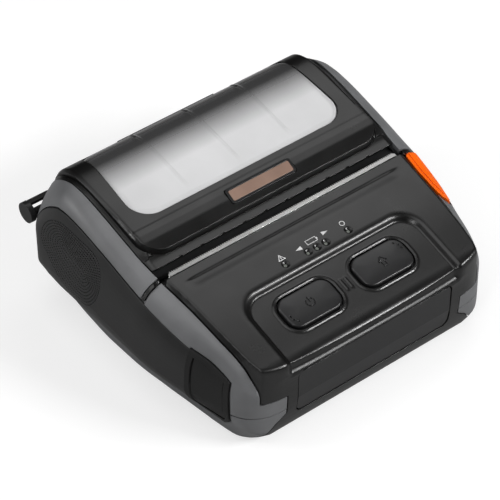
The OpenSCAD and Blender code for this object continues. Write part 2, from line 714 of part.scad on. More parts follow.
module roll_bin() {
    thick = 1.4;
    color("#2a2a2c") place() {
        difference() {
            union() {
                rod_x(bin_at, bin_r + thick, -58.4, 58.4);
                along_x(-56.4, 56.4) polygon([[8.6, 33.6], [1, 35.2], [-7.4, 36], [-7.4, 34.9], [1, 34],
                    [6, 32.2]]);
            }
            rod_x(bin_at, bin_r, -57.2, 57.2);
            box([-57.2, 20, 36.8], [57.2, 90, 90]);
            box([-57.2, 7, 33.6], [57.2, 60, 90]);
            box([-70, 20, 44], [70, 90, 90]);
            box([-70, -20, 40], [70, 60, 90]);
            box([-70, 60.2, -10], [70, 90, 90]);
            box([-70, -20, 36.1], [70, 7, 90]);
        }
    }
}
module paper_roll() {
    color("white") place() difference() {
        rod_x(roll_at, roll_d / 2, -paper_w / 2, paper_w / 2);
        rod_x(roll_at, core_d / 2, -60, 60);
    }
}
module roll_core() {
    color("burlywood") place() difference() {
        rod_x(roll_at, core_d / 2, -paper_w / 2, paper_w / 2);
        rod_x(roll_at, core_d / 2 - 2, -60, 60);
    }
}
module paper_sensor() { color("#303030") place() box([18, -6.6, 30.6], [26, -2, 34.2]); }
module lid_switch() {
    color("#303030") place() {
        box([58.8, 9, 36], [62, 17, 42]);
        box([60, 13, 42], [61.2, 15, 44.6]);
    }
}

// Electronics

module main_board() {
    color("darkgreen") place() difference() {
        box([-57.2, -57.2, 26.7], [56, -22, 28.3]);
        box([-62, -29, 20], [-41, -20, 30]);
        both() translate([56, -52.5, 20]) cylinder(r = 4, h = 20);
    }
}
module key_board() {
    color("darkgreen") place() on_panel(0, button_y) translate([-41, -9.5, -11]) cube([82, 30, 1.4]);
}
module key_switches() {
    color("#222222") place() for (x = [-cap_x, cap_x]) on_panel(x, button_y) translate([0, 0, -9.6]) {
        translate([-3.1, -3.1, 0]) cube([6.2, 6.2, 2.4]);
        cylinder(r = 1.7, h = 3);
    }
}
module radio_module() { color("lightgray") place() box([28, -46, 28.3], [48, -32, 30.6]); }
module buzzer() { color("#181818") place() translate([-8, -50, 28.3]) cylinder(r = 4.5, h = 3.2); }
module power_inlet() {
    color("#181818") place() difference() {
        box([-62, -45.4, 15.4], [-50.2, -37.4, 26.6]);
        rod_x([-41.4, 20.8], 3, -70, -53);
    }
}
module data_port() {
    color("silver") place() difference() {
        box([-61.6, -52.6, 22.4], [-53, -46, 26.6]);
        box([-70, -52, 23], [-55, -46.6, 26]);
    }
}
module battery_pack() {
    color("#1f2124") place() box([-pack_w / 2, -52.5, 1.4], [pack_w / 2, -52.5 + pack_l, 1.4 + pack_h]);
}
module battery_contacts() {
    color("gold") place() for (x = [-12, -4, 4, 12]) box([x - 1, -5, 23], [x + 1, -3, 26.4]);
}
module battery_latch() {
    color("#2a2a2c") place() {
        box([-8, -56.6, 1.3], [8, -52.8, 3]);
        for (y = [-56, -55, -54]) box([-6, y, 1], [6, y + 0.5, 1.4]);
    }
}

// Rear

module strap_lug(s) {
    color("#161616") place() mirror([s < 0 ? 1 : 0, 0, 0]) difference() {
        union() {
            rod_x(hinge_at, 4.6, 67.6, 70);
            box([57.6, 69.7, 33.6], [67.7, 72.2, 42.8]);
            box([57.6, 65.02, 34.4], [59.6, 70, 37.8]);
        }
        box([59.8, 66, 37.2], [67.4, 80, 41.4]);
    }
}
module strap_lug_left() { strap_lug(-1); }
module strap_lug_right() { strap_lug(1); }
module hinge_brackets() {
    color("#1c1c1d") place() both() difference() {
        union() {
            rod_x(hinge_at, 3.3, 50, 56.8);
            along_x(50, 56.8) polygon([[65.02, 34], [65.02, 38.2], [69, 41.2], [73, 40], [73, 36], [69, 34]]);
        }
        rod_x(hinge_at, 1.55, 40, 60);
    }
}
module hinge_rod() { color("silver") place() rod_x(hinge_at, 1.5, -56.6, 56.6); }

// Underside

module rubber_feet() {
    color("#111111") place() for (p = foot_spots) translate([p[0], p[1], 0]) cylinder(r = 5, h = 2);
}
module case_screws() {
    color("silver") place() both() for (p = boss_spots) translate([p[0], p[1], 6]) {
        cylinder(r = 2.8, h = 2.1);
        cylinder(r = 1.25, h = p[2] - 9);
    }
}

upper_case();
lower_case();
front_panel();
front_plate();
side_panel_left();
side_panel_right();
port_cover();
tear_bar();
power_button();
feed_button();
lamp_lenses();
release_lever();
latch_shaft();
latch_hooks();
latch_spring();
lid_cover();
lid_shoulder_left();
lid_shoulder_right();
window();
badge_plate();
lid_frame();
lid_screws();
platen_shaft();
platen_rubber();
platen_bushings();
platen_gear();
idler_gear();
idler_stud();
motor_pinion();
stepper_motor();
print_frame();
frame_screws();
print_head();
heater_strip();
head_springs();
head_cable();
roll_bin();
paper_roll();
roll_core();
paper_sensor();
lid_switch();
main_board();
key_board();
key_switches();
radio_module();
buzzer();
power_inlet();
data_port();
battery_pack();
battery_contacts();
battery_latch();
strap_lug_left();
strap_lug_right();
hinge_brackets();
hinge_rod();
rubber_feet();
case_screws();
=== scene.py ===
"""Looks of a mobile printer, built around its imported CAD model. Metres, in the CAD model's frame.

The covers share one outer form, made from guide curves. Each cover is a shell of that form, cut to
its outline, and takes the place of its CAD node on the same body. The functions that make pieces
work in millimetres, with y counted from the paper slot.
"""

import json
import math

import bmesh
import bpy
import numpy as np
from mathutils import Matrix, Vector


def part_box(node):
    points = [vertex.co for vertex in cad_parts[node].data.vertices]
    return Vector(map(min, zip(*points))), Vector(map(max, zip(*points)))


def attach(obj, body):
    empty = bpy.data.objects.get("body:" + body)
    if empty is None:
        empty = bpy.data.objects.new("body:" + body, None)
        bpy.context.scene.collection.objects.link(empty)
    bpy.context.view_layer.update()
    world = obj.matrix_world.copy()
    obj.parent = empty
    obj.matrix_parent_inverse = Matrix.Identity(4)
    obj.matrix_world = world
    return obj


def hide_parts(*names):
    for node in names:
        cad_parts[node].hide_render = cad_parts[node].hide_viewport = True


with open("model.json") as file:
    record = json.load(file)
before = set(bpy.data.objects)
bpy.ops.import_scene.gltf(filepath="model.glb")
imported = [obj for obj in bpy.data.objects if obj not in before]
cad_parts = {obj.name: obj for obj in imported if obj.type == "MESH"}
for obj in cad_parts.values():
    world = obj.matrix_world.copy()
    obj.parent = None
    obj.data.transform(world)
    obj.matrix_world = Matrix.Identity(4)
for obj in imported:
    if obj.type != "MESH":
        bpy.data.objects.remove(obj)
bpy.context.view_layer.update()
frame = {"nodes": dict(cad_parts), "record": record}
MM = 0.001

# Camera, lights and floor

VIEW_BACK = Vector((-0.4677, -0.5775, 0.6691))  # from the target towards the camera
VIEW_TARGET = Vector((0, -3.92, 30)) * MM
VIEW_DISTANCE = 1.027


def make_camera():
    data = bpy.data.cameras.new("camera")
    data.sensor_width = 36
    data.lens = 182.9
    data.shift_x = -0.0382
    data.shift_y = -0.0081
    data.clip_start = 0.05
    data.clip_end = 20
    camera = bpy.data.objects.new("camera", data)
    bpy.context.scene.collection.objects.link(camera)
    camera.rotation_mode = "QUATERNION"
    camera.location = VIEW_TARGET + VIEW_BACK.normalized() * VIEW_DISTANCE
    camera.rotation_quaternion = (-VIEW_BACK).to_track_quat("-Z", "Y")
    bpy.context.scene.camera = camera


def area_light(name, place, aim, size, power):
    data = bpy.data.lights.new(name, "AREA")
    data.shape = "RECTANGLE"
    data.size, data.size_y = size
    data.energy = power
    light = bpy.data.objects.new(name, data)
    bpy.context.scene.collection.objects.link(light)
    light.location = place
    light.rotation_mode = "QUATERNION"
    light.rotation_quaternion = (Vector(aim) - Vector(place)).to_track_quat("-Z", "Y")


def make_world():
    """White behind everything for the camera, and a faint even light for all else."""
    world = bpy.data.worlds.new("studio")
    world.use_nodes = True
    nodes, links = world.node_tree.nodes, world.node_tree.links
    background = nodes["Background"]
    path = nodes.new("ShaderNodeLightPath")
    level = nodes.new("ShaderNodeMix")
    level.inputs["A"].default_value = 0.06
    level.inputs["B"].default_value = 1.0
    links.new(path.outputs["Is Camera Ray"], level.inputs["Factor"])
    links.new(level.outputs["Result"], background.inputs["Strength"])
    bpy.context.scene.world = world


def make_floor():
    mesh = bpy.data.meshes.new("floor")
    reach = 6
    corners = [(-reach, -reach, 0), (reach, -reach, 0), (reach, reach, 0), (-reach, reach, 0)]
    mesh.from_pydata(corners, [], [(0, 1, 2, 3)])
    floor = bpy.data.objects.new("floor", mesh)
    bpy.context.scene.collection.objects.link(floor)
    s = Shader("floor_white")
    body = s.add("BsdfDiffuse")
    body.inputs["Color"].default_value = (0.45, 0.45, 0.45, 1)
    glow = s.add("Emission")
    path = s.add("LightPath")
    s.link(s.remap(path.outputs["Is Camera Ray"], 0, 1, 0, 0.62), glow.inputs["Strength"])
    both = s.add("AddShader")
    s.link(body.outputs[0], both.inputs[0])
    s.link(glow.outputs[0], both.inputs[1])
    s.link(both.outputs[0], s.out.inputs["Surface"])
    mesh.materials.append(s.material)


# Materials


MATERIALS = {}


class Shader:
    """A node material that is put together in a few calls, kept in MATERIALS by its name."""

    def __init__(self, name):
        self.material = MATERIALS[name] = bpy.data.materials.new(name)
        self.material.use_nodes = True
        self.tree = self.material.node_tree
        self.tree.nodes.clear()
        self.out = self.add("OutputMaterial")
        self.where = None

    def add(self, kind, **values):
        node = self.tree.nodes.new("ShaderNode" + kind)
        for key, value in values.items():
            if hasattr(node, key):
                setattr(node, key, value)
            else:
                node.inputs[key.replace("_", " ")].default_value = value
        return node

    def link(self, a, b):
        self.tree.links.new(a, b)

    def place(self):
        if self.where is None:
            self.where = self.add("TexCoord").outputs["Object"]
        return self.where

    def noise(self, size_mm, detail=3, rough=0.55, stretch=None):
        node = self.add("TexNoise")
        node.inputs["Scale"].default_value = 1 / (size_mm * MM)
        node.inputs["Detail"].default_value = detail
        node.inputs["Roughness"].default_value = rough
        source = self.place()
        if stretch:
            mapping = self.add("Mapping")
            mapping.inputs["Scale"].default_value = stretch
            self.link(source, mapping.inputs["Vector"])
            source = mapping.outputs[0]
        self.link(source, node.inputs["Vector"])
        return node.outputs["Fac"]

    def ramp(self, source, low, high, a, b):
        """source from low to high becomes the colours a to b."""
        node = self.add("ValToRGB")
        node.color_ramp.elements[0].position = low
        node.color_ramp.elements[1].position = high
        node.color_ramp.elements[0].color = (*a, 1)
        node.color_ramp.elements[1].color = (*b, 1)
        self.link(source, node.inputs["Fac"])
        return node.outputs["Color"]

    def remap(self, source, low, high, a, b):
        node = self.add("MapRange")
        for key, value in (("From Min", low), ("From Max", high), ("To Min", a), ("To Max", b)):
            node.inputs[key].default_value = value
        self.link(source, node.inputs["Value"])
        return node.outputs["Result"]

    def mix(self, factor, source, colour):
        """The socket source where factor is 0, and the plain colour where it is 1."""
        node = self.add("Mix", data_type="RGBA")
        self.link(source, node.inputs[6])
        node.inputs[7].default_value = (*colour, 1)
        self.link(factor, node.inputs[0])
        return node.outputs[2]

    def principled(self, **values):
        node = self.add("BsdfPrincipled", **values)
        self.link(node.outputs[0], self.out.inputs["Surface"])
        return node

    def bump(self, source, depth_mm, soft_edge_mm):
        node = self.add("Bump")
        node.inputs["Distance"].default_value = depth_mm * MM
        node.inputs["Strength"].default_value = 1
        self.link(source, node.inputs["Height"])
        edge = self.add("Bevel")
        edge.samples = 6
        edge.inputs["Radius"].default_value = soft_edge_mm * MM
        self.link(edge.outputs[0], node.inputs["Normal"])
        return node.outputs[0]


def scaled(colour, k):
    return tuple(min(1, c * k) for c in colour)


def moulded(name, colour, rough, grain=0.5, depth=0.012, edge=0.35, shine=0.5, vary=0.12,
            coat=0.0):
    """Moulded plastic or rubber: spark-eroded grain, soft edges and slightly uneven gloss."""
    s = Shader(name)
    body = s.principled(Specular_IOR_Level=shine, Coat_Weight=coat, Coat_Roughness=0.2)
    cloud = s.noise(14, 4)
    fine = s.noise(grain, 3, 0.6)
    shade = s.ramp(cloud, 0.3, 0.7, scaled(colour, 1 - vary), scaled(colour, 1 + vary))
    s.link(shade, body.inputs["Base Color"])
    s.link(s.remap(cloud, 0.25, 0.75, rough - 0.035, rough + 0.035), body.inputs["Roughness"])
    s.link(s.bump(fine, depth, edge), body.inputs["Normal"])


def metal(name, colour, rough, stretch=(1, 1, 1)):
    """Metal with fine lines or grain and uneven gloss."""
    s = Shader(name)
    body = s.principled(Metallic=1.0)
    line = s.noise(0.6, 4, 0.6, stretch)
    cloud = s.noise(9, 3)
    shade = s.ramp(cloud, 0.3, 0.7, scaled(colour, 0.9), scaled(colour, 1.05))
    s.link(shade, body.inputs["Base Color"])
    s.link(s.remap(line, 0.3, 0.7, rough - 0.06, rough + 0.06), body.inputs["Roughness"])
    s.link(s.bump(line, 0.006, 0.15), body.inputs["Normal"])


def clear_cover(name):
    """Smoked window: a satin pane with some haze. Painted reflection makes it milkier in front, and
    painted shade darkens its tint towards the rear.
    """
    s = Shader(name)
    tint = s.add("BsdfTransparent")
    cloud = s.noise(20, 2)
    skin = s.add("BsdfPrincipled")
    pale = s.ramp(s.noise(30, 3), 0.3, 0.7, (0.84, 0.84, 0.845), (0.93, 0.93, 0.935))
    s.link(pale, skin.inputs["Base Color"])
    skin.inputs["Roughness"].default_value = 0.22
    place = s.add("SeparateXYZ")
    s.link(s.place(), place.inputs[0])
    # painted reflection: the pane's milky share falls from the front to the rear; it is part haze,
    # part a painted stand-in for the bright reflection across the front
    haze_and_painted_sheen = s.remap(place.outputs["Y"], 0.027, 0.043, 0.58, 0.05)
    # painted shade: the tint darkens towards the rear edge, where the pane curves down
    painted_rear_shade = s.remap(place.outputs["Y"], 0.03, 0.043, 0, 1)
    glass = s.ramp(cloud, 0.3, 0.7, (0.86, 0.86, 0.87), (0.9, 0.9, 0.91))
    s.link(s.mix(painted_rear_shade, glass, (0.42, 0.42, 0.425)), tint.inputs["Color"])
    angle = s.add("LayerWeight", Blend=0.5)
    steep = s.add("Math", operation="POWER")
    s.link(angle.outputs["Facing"], steep.inputs[0])
    steep.inputs[1].default_value = 5
    most = s.add("Math", operation="MAXIMUM")
    s.link(steep.outputs[0], most.inputs[0])
    s.link(haze_and_painted_sheen, most.inputs[1])
    both = s.add("MixShader")
    s.link(most.outputs[0], both.inputs[0])
    s.link(tint.outputs[0], both.inputs[1])
    s.link(skin.outputs[0], both.inputs[2])
    s.link(both.outputs[0], s.out.inputs["Surface"])


BLACK = (0.0068, 0.0067, 0.0066)
GREY = (0.145, 0.147, 0.152)

moulded("case_grey", GREY, 0.42)
moulded("cover_black", BLACK, 0.3)
moulded("side_black", (0.013, 0.013, 0.0131), 0.4, depth=0.018)
moulded("plate_dark", (0.011, 0.011, 0.0115), 0.34)
moulded("flap_rubber", (0.009, 0.009, 0.009), 0.55, shine=0.35)
moulded("button_black", (0.011, 0.011, 0.0115), 0.36)
moulded("lens", (0.09, 0.1, 0.085), 0.25, edge=0.1)
moulded("lever_orange", (1.0, 0.14, 0.003), 0.45, shine=0.2, vary=0.04)
clear_cover("window_smoke")
moulded("badge", (0.26, 0.165, 0.125), 0.4)
metal("steel", (0.72, 0.72, 0.71), 0.3, (0.05, 1, 1))
metal("spring_steel", (0.5, 0.5, 0.5), 0.28, (0.1, 1, 1))
metal("motor_steel", (0.55, 0.55, 0.54), 0.4)
moulded("liner_black", (0.014, 0.014, 0.0145), 0.55)
moulded("platen_black", (0.012, 0.012, 0.012), 0.6, grain=0.3)
moulded("bushing", (0.35, 0.31, 0.22), 0.4)
moulded("gear_white", (0.8, 0.78, 0.7), 0.4)
metal("head_aluminium", (0.7, 0.71, 0.73), 0.32, (0.05, 1, 1))
moulded("ceramic", (0.75, 0.72, 0.63), 0.2, depth=0.002, coat=0.5)
moulded("flex", (0.5, 0.27, 0.06), 0.3)
moulded("paper", (0.88, 0.88, 0.87), 0.7, grain=0.25, depth=0.01, edge=0.05, vary=0.02)
moulded("cardboard", (0.42, 0.29, 0.17), 0.8, grain=0.8, depth=0.03)
moulded("sensor_black", (0.015, 0.015, 0.015), 0.4)
moulded("board_green", (0.01, 0.1, 0.035), 0.3, coat=0.4)
metal("can_steel", (0.7, 0.7, 0.68), 0.3)
metal("gold", (0.85, 0.6, 0.22), 0.25)
moulded("pack_black", (0.014, 0.0145, 0.016), 0.5, depth=0.02)
metal("rod_black", (0.03, 0.03, 0.032), 0.35, (0.1, 1, 1))
moulded("print_white", (0.62, 0.62, 0.62), 0.5, depth=0.002, edge=0.05)
moulded("foot_rubber", (0.012, 0.012, 0.012), 0.7, shine=0.3)

# Guide curves of the covers, in millimetres, with y counted from the paper slot. A name's last
# letter is the second number of its points [y, x] or [y, z]. NOSE, TOP_LINE and LOWER_LINE are
# [y, z], and PLAN_LINE is [x, y]. SLOT_Y is the slot's place in the frame: the platen's axis lies
# 2.6 mm in front of it.
SLOT_Y = sum(c.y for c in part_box("platen_shaft")) / 2 / MM + 2.6

NOSE = [[-66.6, 33.2], [-68.2, 34.2], [-68.7, 36.4], [-67.8, 38.9], [-65.9, 40.7], [-63.4, 41.7]]
TOP_LINE = [[-68.7, 37], [-66, 40.6], [-63.4, 41.7], [-60, 42.6], [-54, 44.3], [-48, 46],
            [-42, 47.6], [-36, 49.1], [-30, 50.5], [-18, 53], [-10, 54.3], [-5.5, 54.7],
            [0.8, 56.2], [2, 58.6], [4.5, 60.6], [8, 61.7], [14, 62.9], [25, 64.9], [38, 67.3],
            [44, 68.1], [48, 68.2], [52, 67.5], [55.2, 66.1], [58, 64], [61, 60.3], [63.3, 54.8],
            [64.7, 47.8], [65, 42]]
LOWER_LINE = [[65, 34], [64, 22], [61.5, 12], [57, 4], [53, 1], [-61.3, 1], [-64.4, 8],
              [-66.4, 20]]
PLAN_LINE = [[22, -68.4], [44, -66.9], [52, -65.2], [57.5, -62.6], [61.4, -58.7], [64, -53],
             [66.8, -46.5], [69.6, -39.5], [72.2, -32], [74, -22], [75, -8], [75, 52]]
CORNER_R = 13
FRONT_Y, REAR_Y = -68.8, 65
EDGE_X = [[-75, 53], [-64, 55], [-56, 56.4], [-48, 57.1], [-30, 58.3], [-12, 59.4], [0, 59.6],
          [2, 57.5], [5, 58.2], [66, 58.2]]
SEAM_X = [[-75, 52], [-64, 55], [-60, 56.7], [-52, 57.9], [-44, 58.6], [-36, 59.2], [-20, 60.1],
          [-12, 61.1], [0, 61.9], [5, 62.3], [66, 62.3]]
SEAM_Z = [[-75, 20], [-66, 24], [-63, 30], [-60, 36], [-56, 40.4], [-52, 42.5], [-44, 44.9],
          [-36, 47.3], [-28, 49.1], [-20, 50.5], [-12, 52.8], [-5, 54.3], [0, 55.6], [5, 57.1],
          [15, 59.9], [25, 62.8], [35, 65.3], [40, 66.1], [45, 66.3], [48, 65.8], [51.7, 64.4],
          [55.3, 62.6], [59, 59.4], [62, 54.5], [64, 47.5], [66, 41]]
BAND_X = [[-75, 55], [-60, 61.2], [-56, 62.1], [-52, 62.8], [-48, 63.6], [-44, 64.4],
          [-40, 65.5], [-36, 66.7], [-28, 68.4], [-20, 69.6], [-10, 70.3], [66, 70.5]]
BAND_Z = [[-75, 14], [-64, 18], [-60, 26], [-56, 30.9], [-52, 34.2], [-48, 36.3], [-44, 37.8],
          [-40, 38.8], [-36, 39.6], [-28, 42], [-20, 44.4], [-10, 47.2], [0, 49.9], [10, 52.8],
          [20, 55.4], [30, 57.7], [35, 58.5], [40, 58.9], [45, 58.5], [48, 57.2], [51.4, 55],
          [54.3, 52.5], [57.4, 49], [60.7, 43.6], [62.6, 39.2], [66, 36]]
SIDE_X = [[-75, 55], [-60, 61.2], [-56, 63.2], [-50, 65.2], [-44, 67.2], [-38, 69.4], [-30, 72],
          [-20, 74], [-8, 75], [66, 75]]
HIP_IN = [[-75, 0.4], [44, 0.4], [52, 1.2], [60.7, 4], [66, 7]]
BASE_X = [[-75, 48], [-66, 54], [-63, 57], [-60, 59.2], [-56, 60.9], [-52, 61.4], [-46, 61.9],
          [-26, 63.7], [-10, 65.3], [7, 66.2], [28, 66.6], [45, 66.2], [52, 65.2], [60.7, 61.6],
          [66, 57]]
FOOT_X = [[-75, 20], [-66, 36], [-63, 45], [-60, 53.6], [-56, 58], [-52, 59.9], [-46, 60.9],
          [-26, 62.8], [7, 65.6], [20, 65.6], [35, 64.4], [45, 63.2], [55, 61], [66, 54]]


def along(y, table):
    """A guide curve's value at y, on a smooth curve that never overshoots its points."""
    t = np.asarray(table, float)
    x, v = t[:, 0], t[:, 1]
    h, d = np.diff(x), np.diff(v) / np.diff(x)
    m = np.zeros(len(x))
    same = d[:-1] * d[1:] > 0
    w1, w2 = 2 * h[1:] + h[:-1], h[1:] + 2 * h[:-1]
    with np.errstate(divide="ignore", invalid="ignore"):
        m[1:-1] = np.where(same, (w1 + w2) / (w1 / d[:-1] + w2 / d[1:]), 0)
    m[0], m[-1] = d[0], d[-1]
    y = np.clip(y, x[0], x[-1])
    i = np.clip(np.searchsorted(x, y) - 1, 0, len(h) - 1)
    s = (y - x[i]) / h[i]
    return ((1 + 2 * s) * (1 - s) ** 2 * v[i] + s * (1 - s) ** 2 * h[i] * m[i]
            + s * s * (3 - 2 * s) * v[i + 1] + s * s * (s - 1) * h[i] * m[i + 1])


def softened(outline, times=2):
    """Cuts the corners of a closed outline, so that it bends smoothly."""
    p = np.asarray(outline, float)
    for _ in range(times):
        q = np.roll(p, -1, 0)
        p = np.stack([0.75 * p + 0.25 * q, 0.25 * p + 0.75 * q], 1).reshape(-1, 2)
    return p


def inside_distance(px, py, outline):
    """Distance to a closed outline, positive inside it."""
    p = np.asarray(outline, float)
    best = np.full(np.shape(px), 1e9)
    odd = np.zeros(np.shape(px), bool)
    for (ax, ay), (bx, by) in zip(p, np.roll(p, -1, 0)):
        dx, dy = bx - ax, by - ay
        size = dx * dx + dy * dy
        if size < 1e-12:
            continue
        t = np.clip(((px - ax) * dx + (py - ay) * dy) / size, 0, 1)
        best = np.minimum(best, (px - ax - t * dx) ** 2 + (py - ay - t * dy) ** 2)
        if dy:
            cross = (ay > py) != (by > py)
            odd ^= cross & (px < dx * (py - ay) / dy + ax)
    return np.where(odd, 1, -1) * np.sqrt(best)


class Field:
    """Inside distance to an outline, kept on a fine grid for speed."""

    def __init__(self, outline, step=0.25, margin=14):
        p = np.asarray(outline, float)
        self.low, self.step = p.min(0) - margin, step
        size = np.ceil((p.max(0) + margin - self.low) / step).astype(int) + 1
        axes = (self.low[i] + step * np.arange(size[i]) for i in (0, 1))
        gx, gy = np.meshgrid(*axes, indexing="ij")
        self.value = inside_distance(gx, gy, p)

    def __call__(self, px, py):
        fx = np.clip((px - self.low[0]) / self.step, 0, self.value.shape[0] - 1.001)
        fy = np.clip((py - self.low[1]) / self.step, 0, self.value.shape[1] - 1.001)
        i, j = fx.astype(int), fy.astype(int)
        u, v = fx - i, fy - j
        g = self.value
        return ((1 - u) * (1 - v) * g[i, j] + u * (1 - v) * g[i + 1, j]
                + (1 - u) * v * g[i, j + 1] + u * v * g[i + 1, j + 1])


def ring(y):
    """Cross-section of the covers at depth y: points [x, z] down the right side."""
    top, ex, sx, sz = (along(y, t) for t in (TOP_LINE, EDGE_X, SEAM_X, SEAM_Z))
    bx, bz, mx, fx, gx = (along(y, t) for t in (BAND_X, BAND_Z, SIDE_X, BASE_X, FOOT_X))
    drop = bz - 9
    return np.array([[0, 95], [ex, 95], [ex, top], [sx, sz],
                     [(sx + bx) / 2 + 0.8, (sz + bz) / 2 + 1.2], [bx, bz],
                     [bx + 0.75 * (mx - bx), bz - 0.2 * drop], [mx, bz - 0.48 * drop],
                     [mx - along(y, HIP_IN), bz - 0.75 * drop], [fx, 8], [gx, 1], [gx - 3, -5],
                     [0, -5]])


class Form:
    """The outer form of all the covers, as an inside distance in millimetres."""

    def __init__(self):
        rest = [p for p in TOP_LINE if p[0] >= -60]
        self.profile = Field(softened(NOSE + rest + LOWER_LINE, 2))
        corner = [[75 - CORNER_R + CORNER_R * math.cos(math.radians(a)),
                   52 + CORNER_R * math.sin(math.radians(a))] for a in range(9, 91, 9)]
        right = [[0, FRONT_Y]] + PLAN_LINE + corner + [[0, REAR_Y]]
        left = [[-x, y] for x, y in right[-2:0:-1]]
        self.plan = Field(softened(right + left, 2))
        self.ys = np.arange(-76, 67.01, 1.0)
        self.xs = np.arange(34, 84.01, 0.5)
        self.zs = np.arange(-8, 76.01, 0.5)
        gx, gz = np.meshgrid(self.xs, self.zs, indexing="ij")
        self.side = np.array([inside_distance(gx, gz, softened(ring(y), 2)) for y in self.ys])

    def around(self, x, y, z):
        x = np.abs(x)
        f = [np.clip((v - s[0]) / (s[1] - s[0]), 0, len(s) - 1.001)
             for v, s in ((y, self.ys), (x, self.xs), (z, self.zs))]
        i, j, k = (a.astype(int) for a in f)
        u, v, w = f[0] - i, f[1] - j, f[2] - k
        g, total = self.side, 0
        for di, a in ((0, 1 - u), (1, u)):
            for dj, b in ((0, 1 - v), (1, v)):
                for dk, c in ((0, 1 - w), (1, w)):
                    total = total + a * b * c * g[i + di, j + dj, k + dk]
        return np.where(x < 36, 40, total)

    def __call__(self, x, y, z):
        ends = soft_min(self.profile(y, z), self.plan(x, y), 1.6)
        return soft_min(ends, self.around(x, y, z), 0.8)

    def slope(self, p):
        """Outward unit normals at the points p."""
        e = 0.35
        g = np.stack([self(*(p + e * axis).T) - self(*(p - e * axis).T) for axis in np.eye(3)], 1)
        return -g / np.linalg.norm(g, axis=1, keepdims=True)

    def surface(self, start, way, reach=90):
        """Where rays from inside the form, start + t * way, meet its surface."""
        way = way / np.linalg.norm(way, axis=1, keepdims=True)
        low, high = np.zeros(len(start)), np.full(len(start), float(reach))
        for _ in range(20):
            mid = (low + high) / 2
            hit = self(*(start + mid[:, None] * way).T) > 0
            low, high = np.where(hit, mid, low), np.where(hit, high, mid)
        return start + low[:, None] * way


def soft_min(a, b, r):
    """The smaller of a and b, rounded off over r where they meet."""
    h = np.clip(0.5 + (b - a) / (2 * r), 0, 1)
    return b * (1 - h) + a * h - r * h * (1 - h)


# Meshes


def new_object(name, points, faces):
    """A mesh object from points in millimetres, y counted from the slot."""
    mesh = bpy.data.meshes.new(name)
    p = np.asarray(points, float) + (0, SLOT_Y, 0)
    mesh.from_pydata((p * MM).tolist(), [], faces)
    mesh.update()
    made = bpy.data.objects.new(name, mesh)
    bpy.context.scene.collection.objects.link(made)
    return made


def grid_faces(rows, columns, first=0, turned=False, closed=False):
    """Quads of a grid of points, counted from first. A closed grid joins its last column."""
    last = columns if closed else columns - 1
    i, j = np.meshgrid(np.arange(rows - 1), np.arange(last), indexing="ij")
    k = (j + 1) % columns
    below = (i + 1) * columns
    quads = np.stack([i * columns + j, i * columns + k, below + k, below + j], -1)
    quads = quads.reshape(-1, 4) + first
    return (quads[:, ::-1] if turned else quads).tolist()


def shell_from_grid(name, outer, inner):
    """Closed shell between two grids of points. The outer grid's faces look outwards."""
    rows, columns = outer.shape[:2]
    n = rows * columns
    points = np.vstack([outer.reshape(-1, 3), inner.reshape(-1, 3)])
    faces = grid_faces(rows, columns) + grid_faces(rows, columns, n, turned=True)
    at = np.arange(n).reshape(rows, columns)
    rim = np.concatenate([at[0, :-1], at[:-1, -1], at[-1, :0:-1], at[:0:-1, 0]])
    after = np.roll(rim, -1)
    faces += np.stack([rim, rim + n, after + n, after], -1).tolist()
    return new_object(name, points, faces)


def prism(outline, axis, low, high):
    """Solid from low to high along an axis (0, 1, 2), its outline across the other two."""
    p = np.asarray(outline, float)
    n = len(p)
    points = np.zeros((2 * n, 3))
    others = [i for i in range(3) if i != axis]
    points[:n, others] = points[n:, others] = p
    points[:n, axis], points[n:, axis] = low, high
    faces = [list(range(n))[::-1], list(range(n, 2 * n))]
    faces += [[i, (i + 1) % n, n + (i + 1) % n, n + i] for i in range(n)]
    made = new_object("cutter", points, faces)
    outwards(made)
    return made


def block(low, high):
    (ax, ay, az), (bx, by, bz) = low, high
    return prism([(ax, ay), (bx, ay), (bx, by), (ax, by)], 2, az, bz)


def cut_both(low, high):
    """Steps that cut a box out on the right, and its mirror image on the left."""
    (ax, *a), (bx, *b) = low, high
    return ("cut", block(low, high)), ("cut", block((-bx, *a), (-ax, *b)))


def outwards(made):
    """Turns all faces of a closed mesh outwards."""
    b = bmesh.new()
    b.from_mesh(made.data)
    bmesh.ops.recalc_face_normals(b, faces=b.faces)
    b.to_mesh(made.data)
    b.free()


def carved(made, *steps):
    """Applies boolean steps ("keep" | "cut" | "add", cutter) and throws the cutters away."""
    how = {"keep": "INTERSECT", "cut": "DIFFERENCE", "add": "UNION"}
    for word, cutter in steps:
        m = made.modifiers.new("carve", "BOOLEAN")
        m.operation, m.object, m.solver = how[word], cutter, "MANIFOLD"
    bpy.context.view_layer.update()
    worked = made.evaluated_get(bpy.context.evaluated_depsgraph_get())
    ready = bpy.data.meshes.new_from_object(worked)
    old = made.data
    made.modifiers.clear()
    made.data = ready
    ready.name = made.name
    bpy.data.meshes.remove(old)
    for _, cutter in steps:
        gone = cutter.data
        bpy.data.objects.remove(cutter)
        bpy.data.meshes.remove(gone)
    return made


def read(items, key, width, kind=np.float32):
    """A property of all items of a mesh, as an array with width columns."""
    values = np.empty(len(items) * width, kind)
    items.foreach_get(key, values)
    return values.reshape(-1, width) if width > 1 else values


def take_form_normals(mesh):
    """Gives corners the normals of the form itself, where their face lies on it."""
    p = read(mesh.vertices, "co", 3) / MM - (0, SLOT_Y, 0)
    slope = form.slope(p)
    corner = read(mesh.corner_normals, "vector", 3)
    vertex = read(mesh.loops, "vertex_index", 1, np.int32)
    sizes = read(mesh.polygons, "loop_total", 1, np.int32)
    flat = np.repeat(read(mesh.polygons, "normal", 3), sizes, axis=0)
    near = np.abs(form(*p.T)) < 0.7
    use = near[vertex] & ((slope[vertex] * flat).sum(1) > 0.93)
    corner[use] = slope[vertex][use]
    mesh.normals_split_custom_set(corner.tolist())


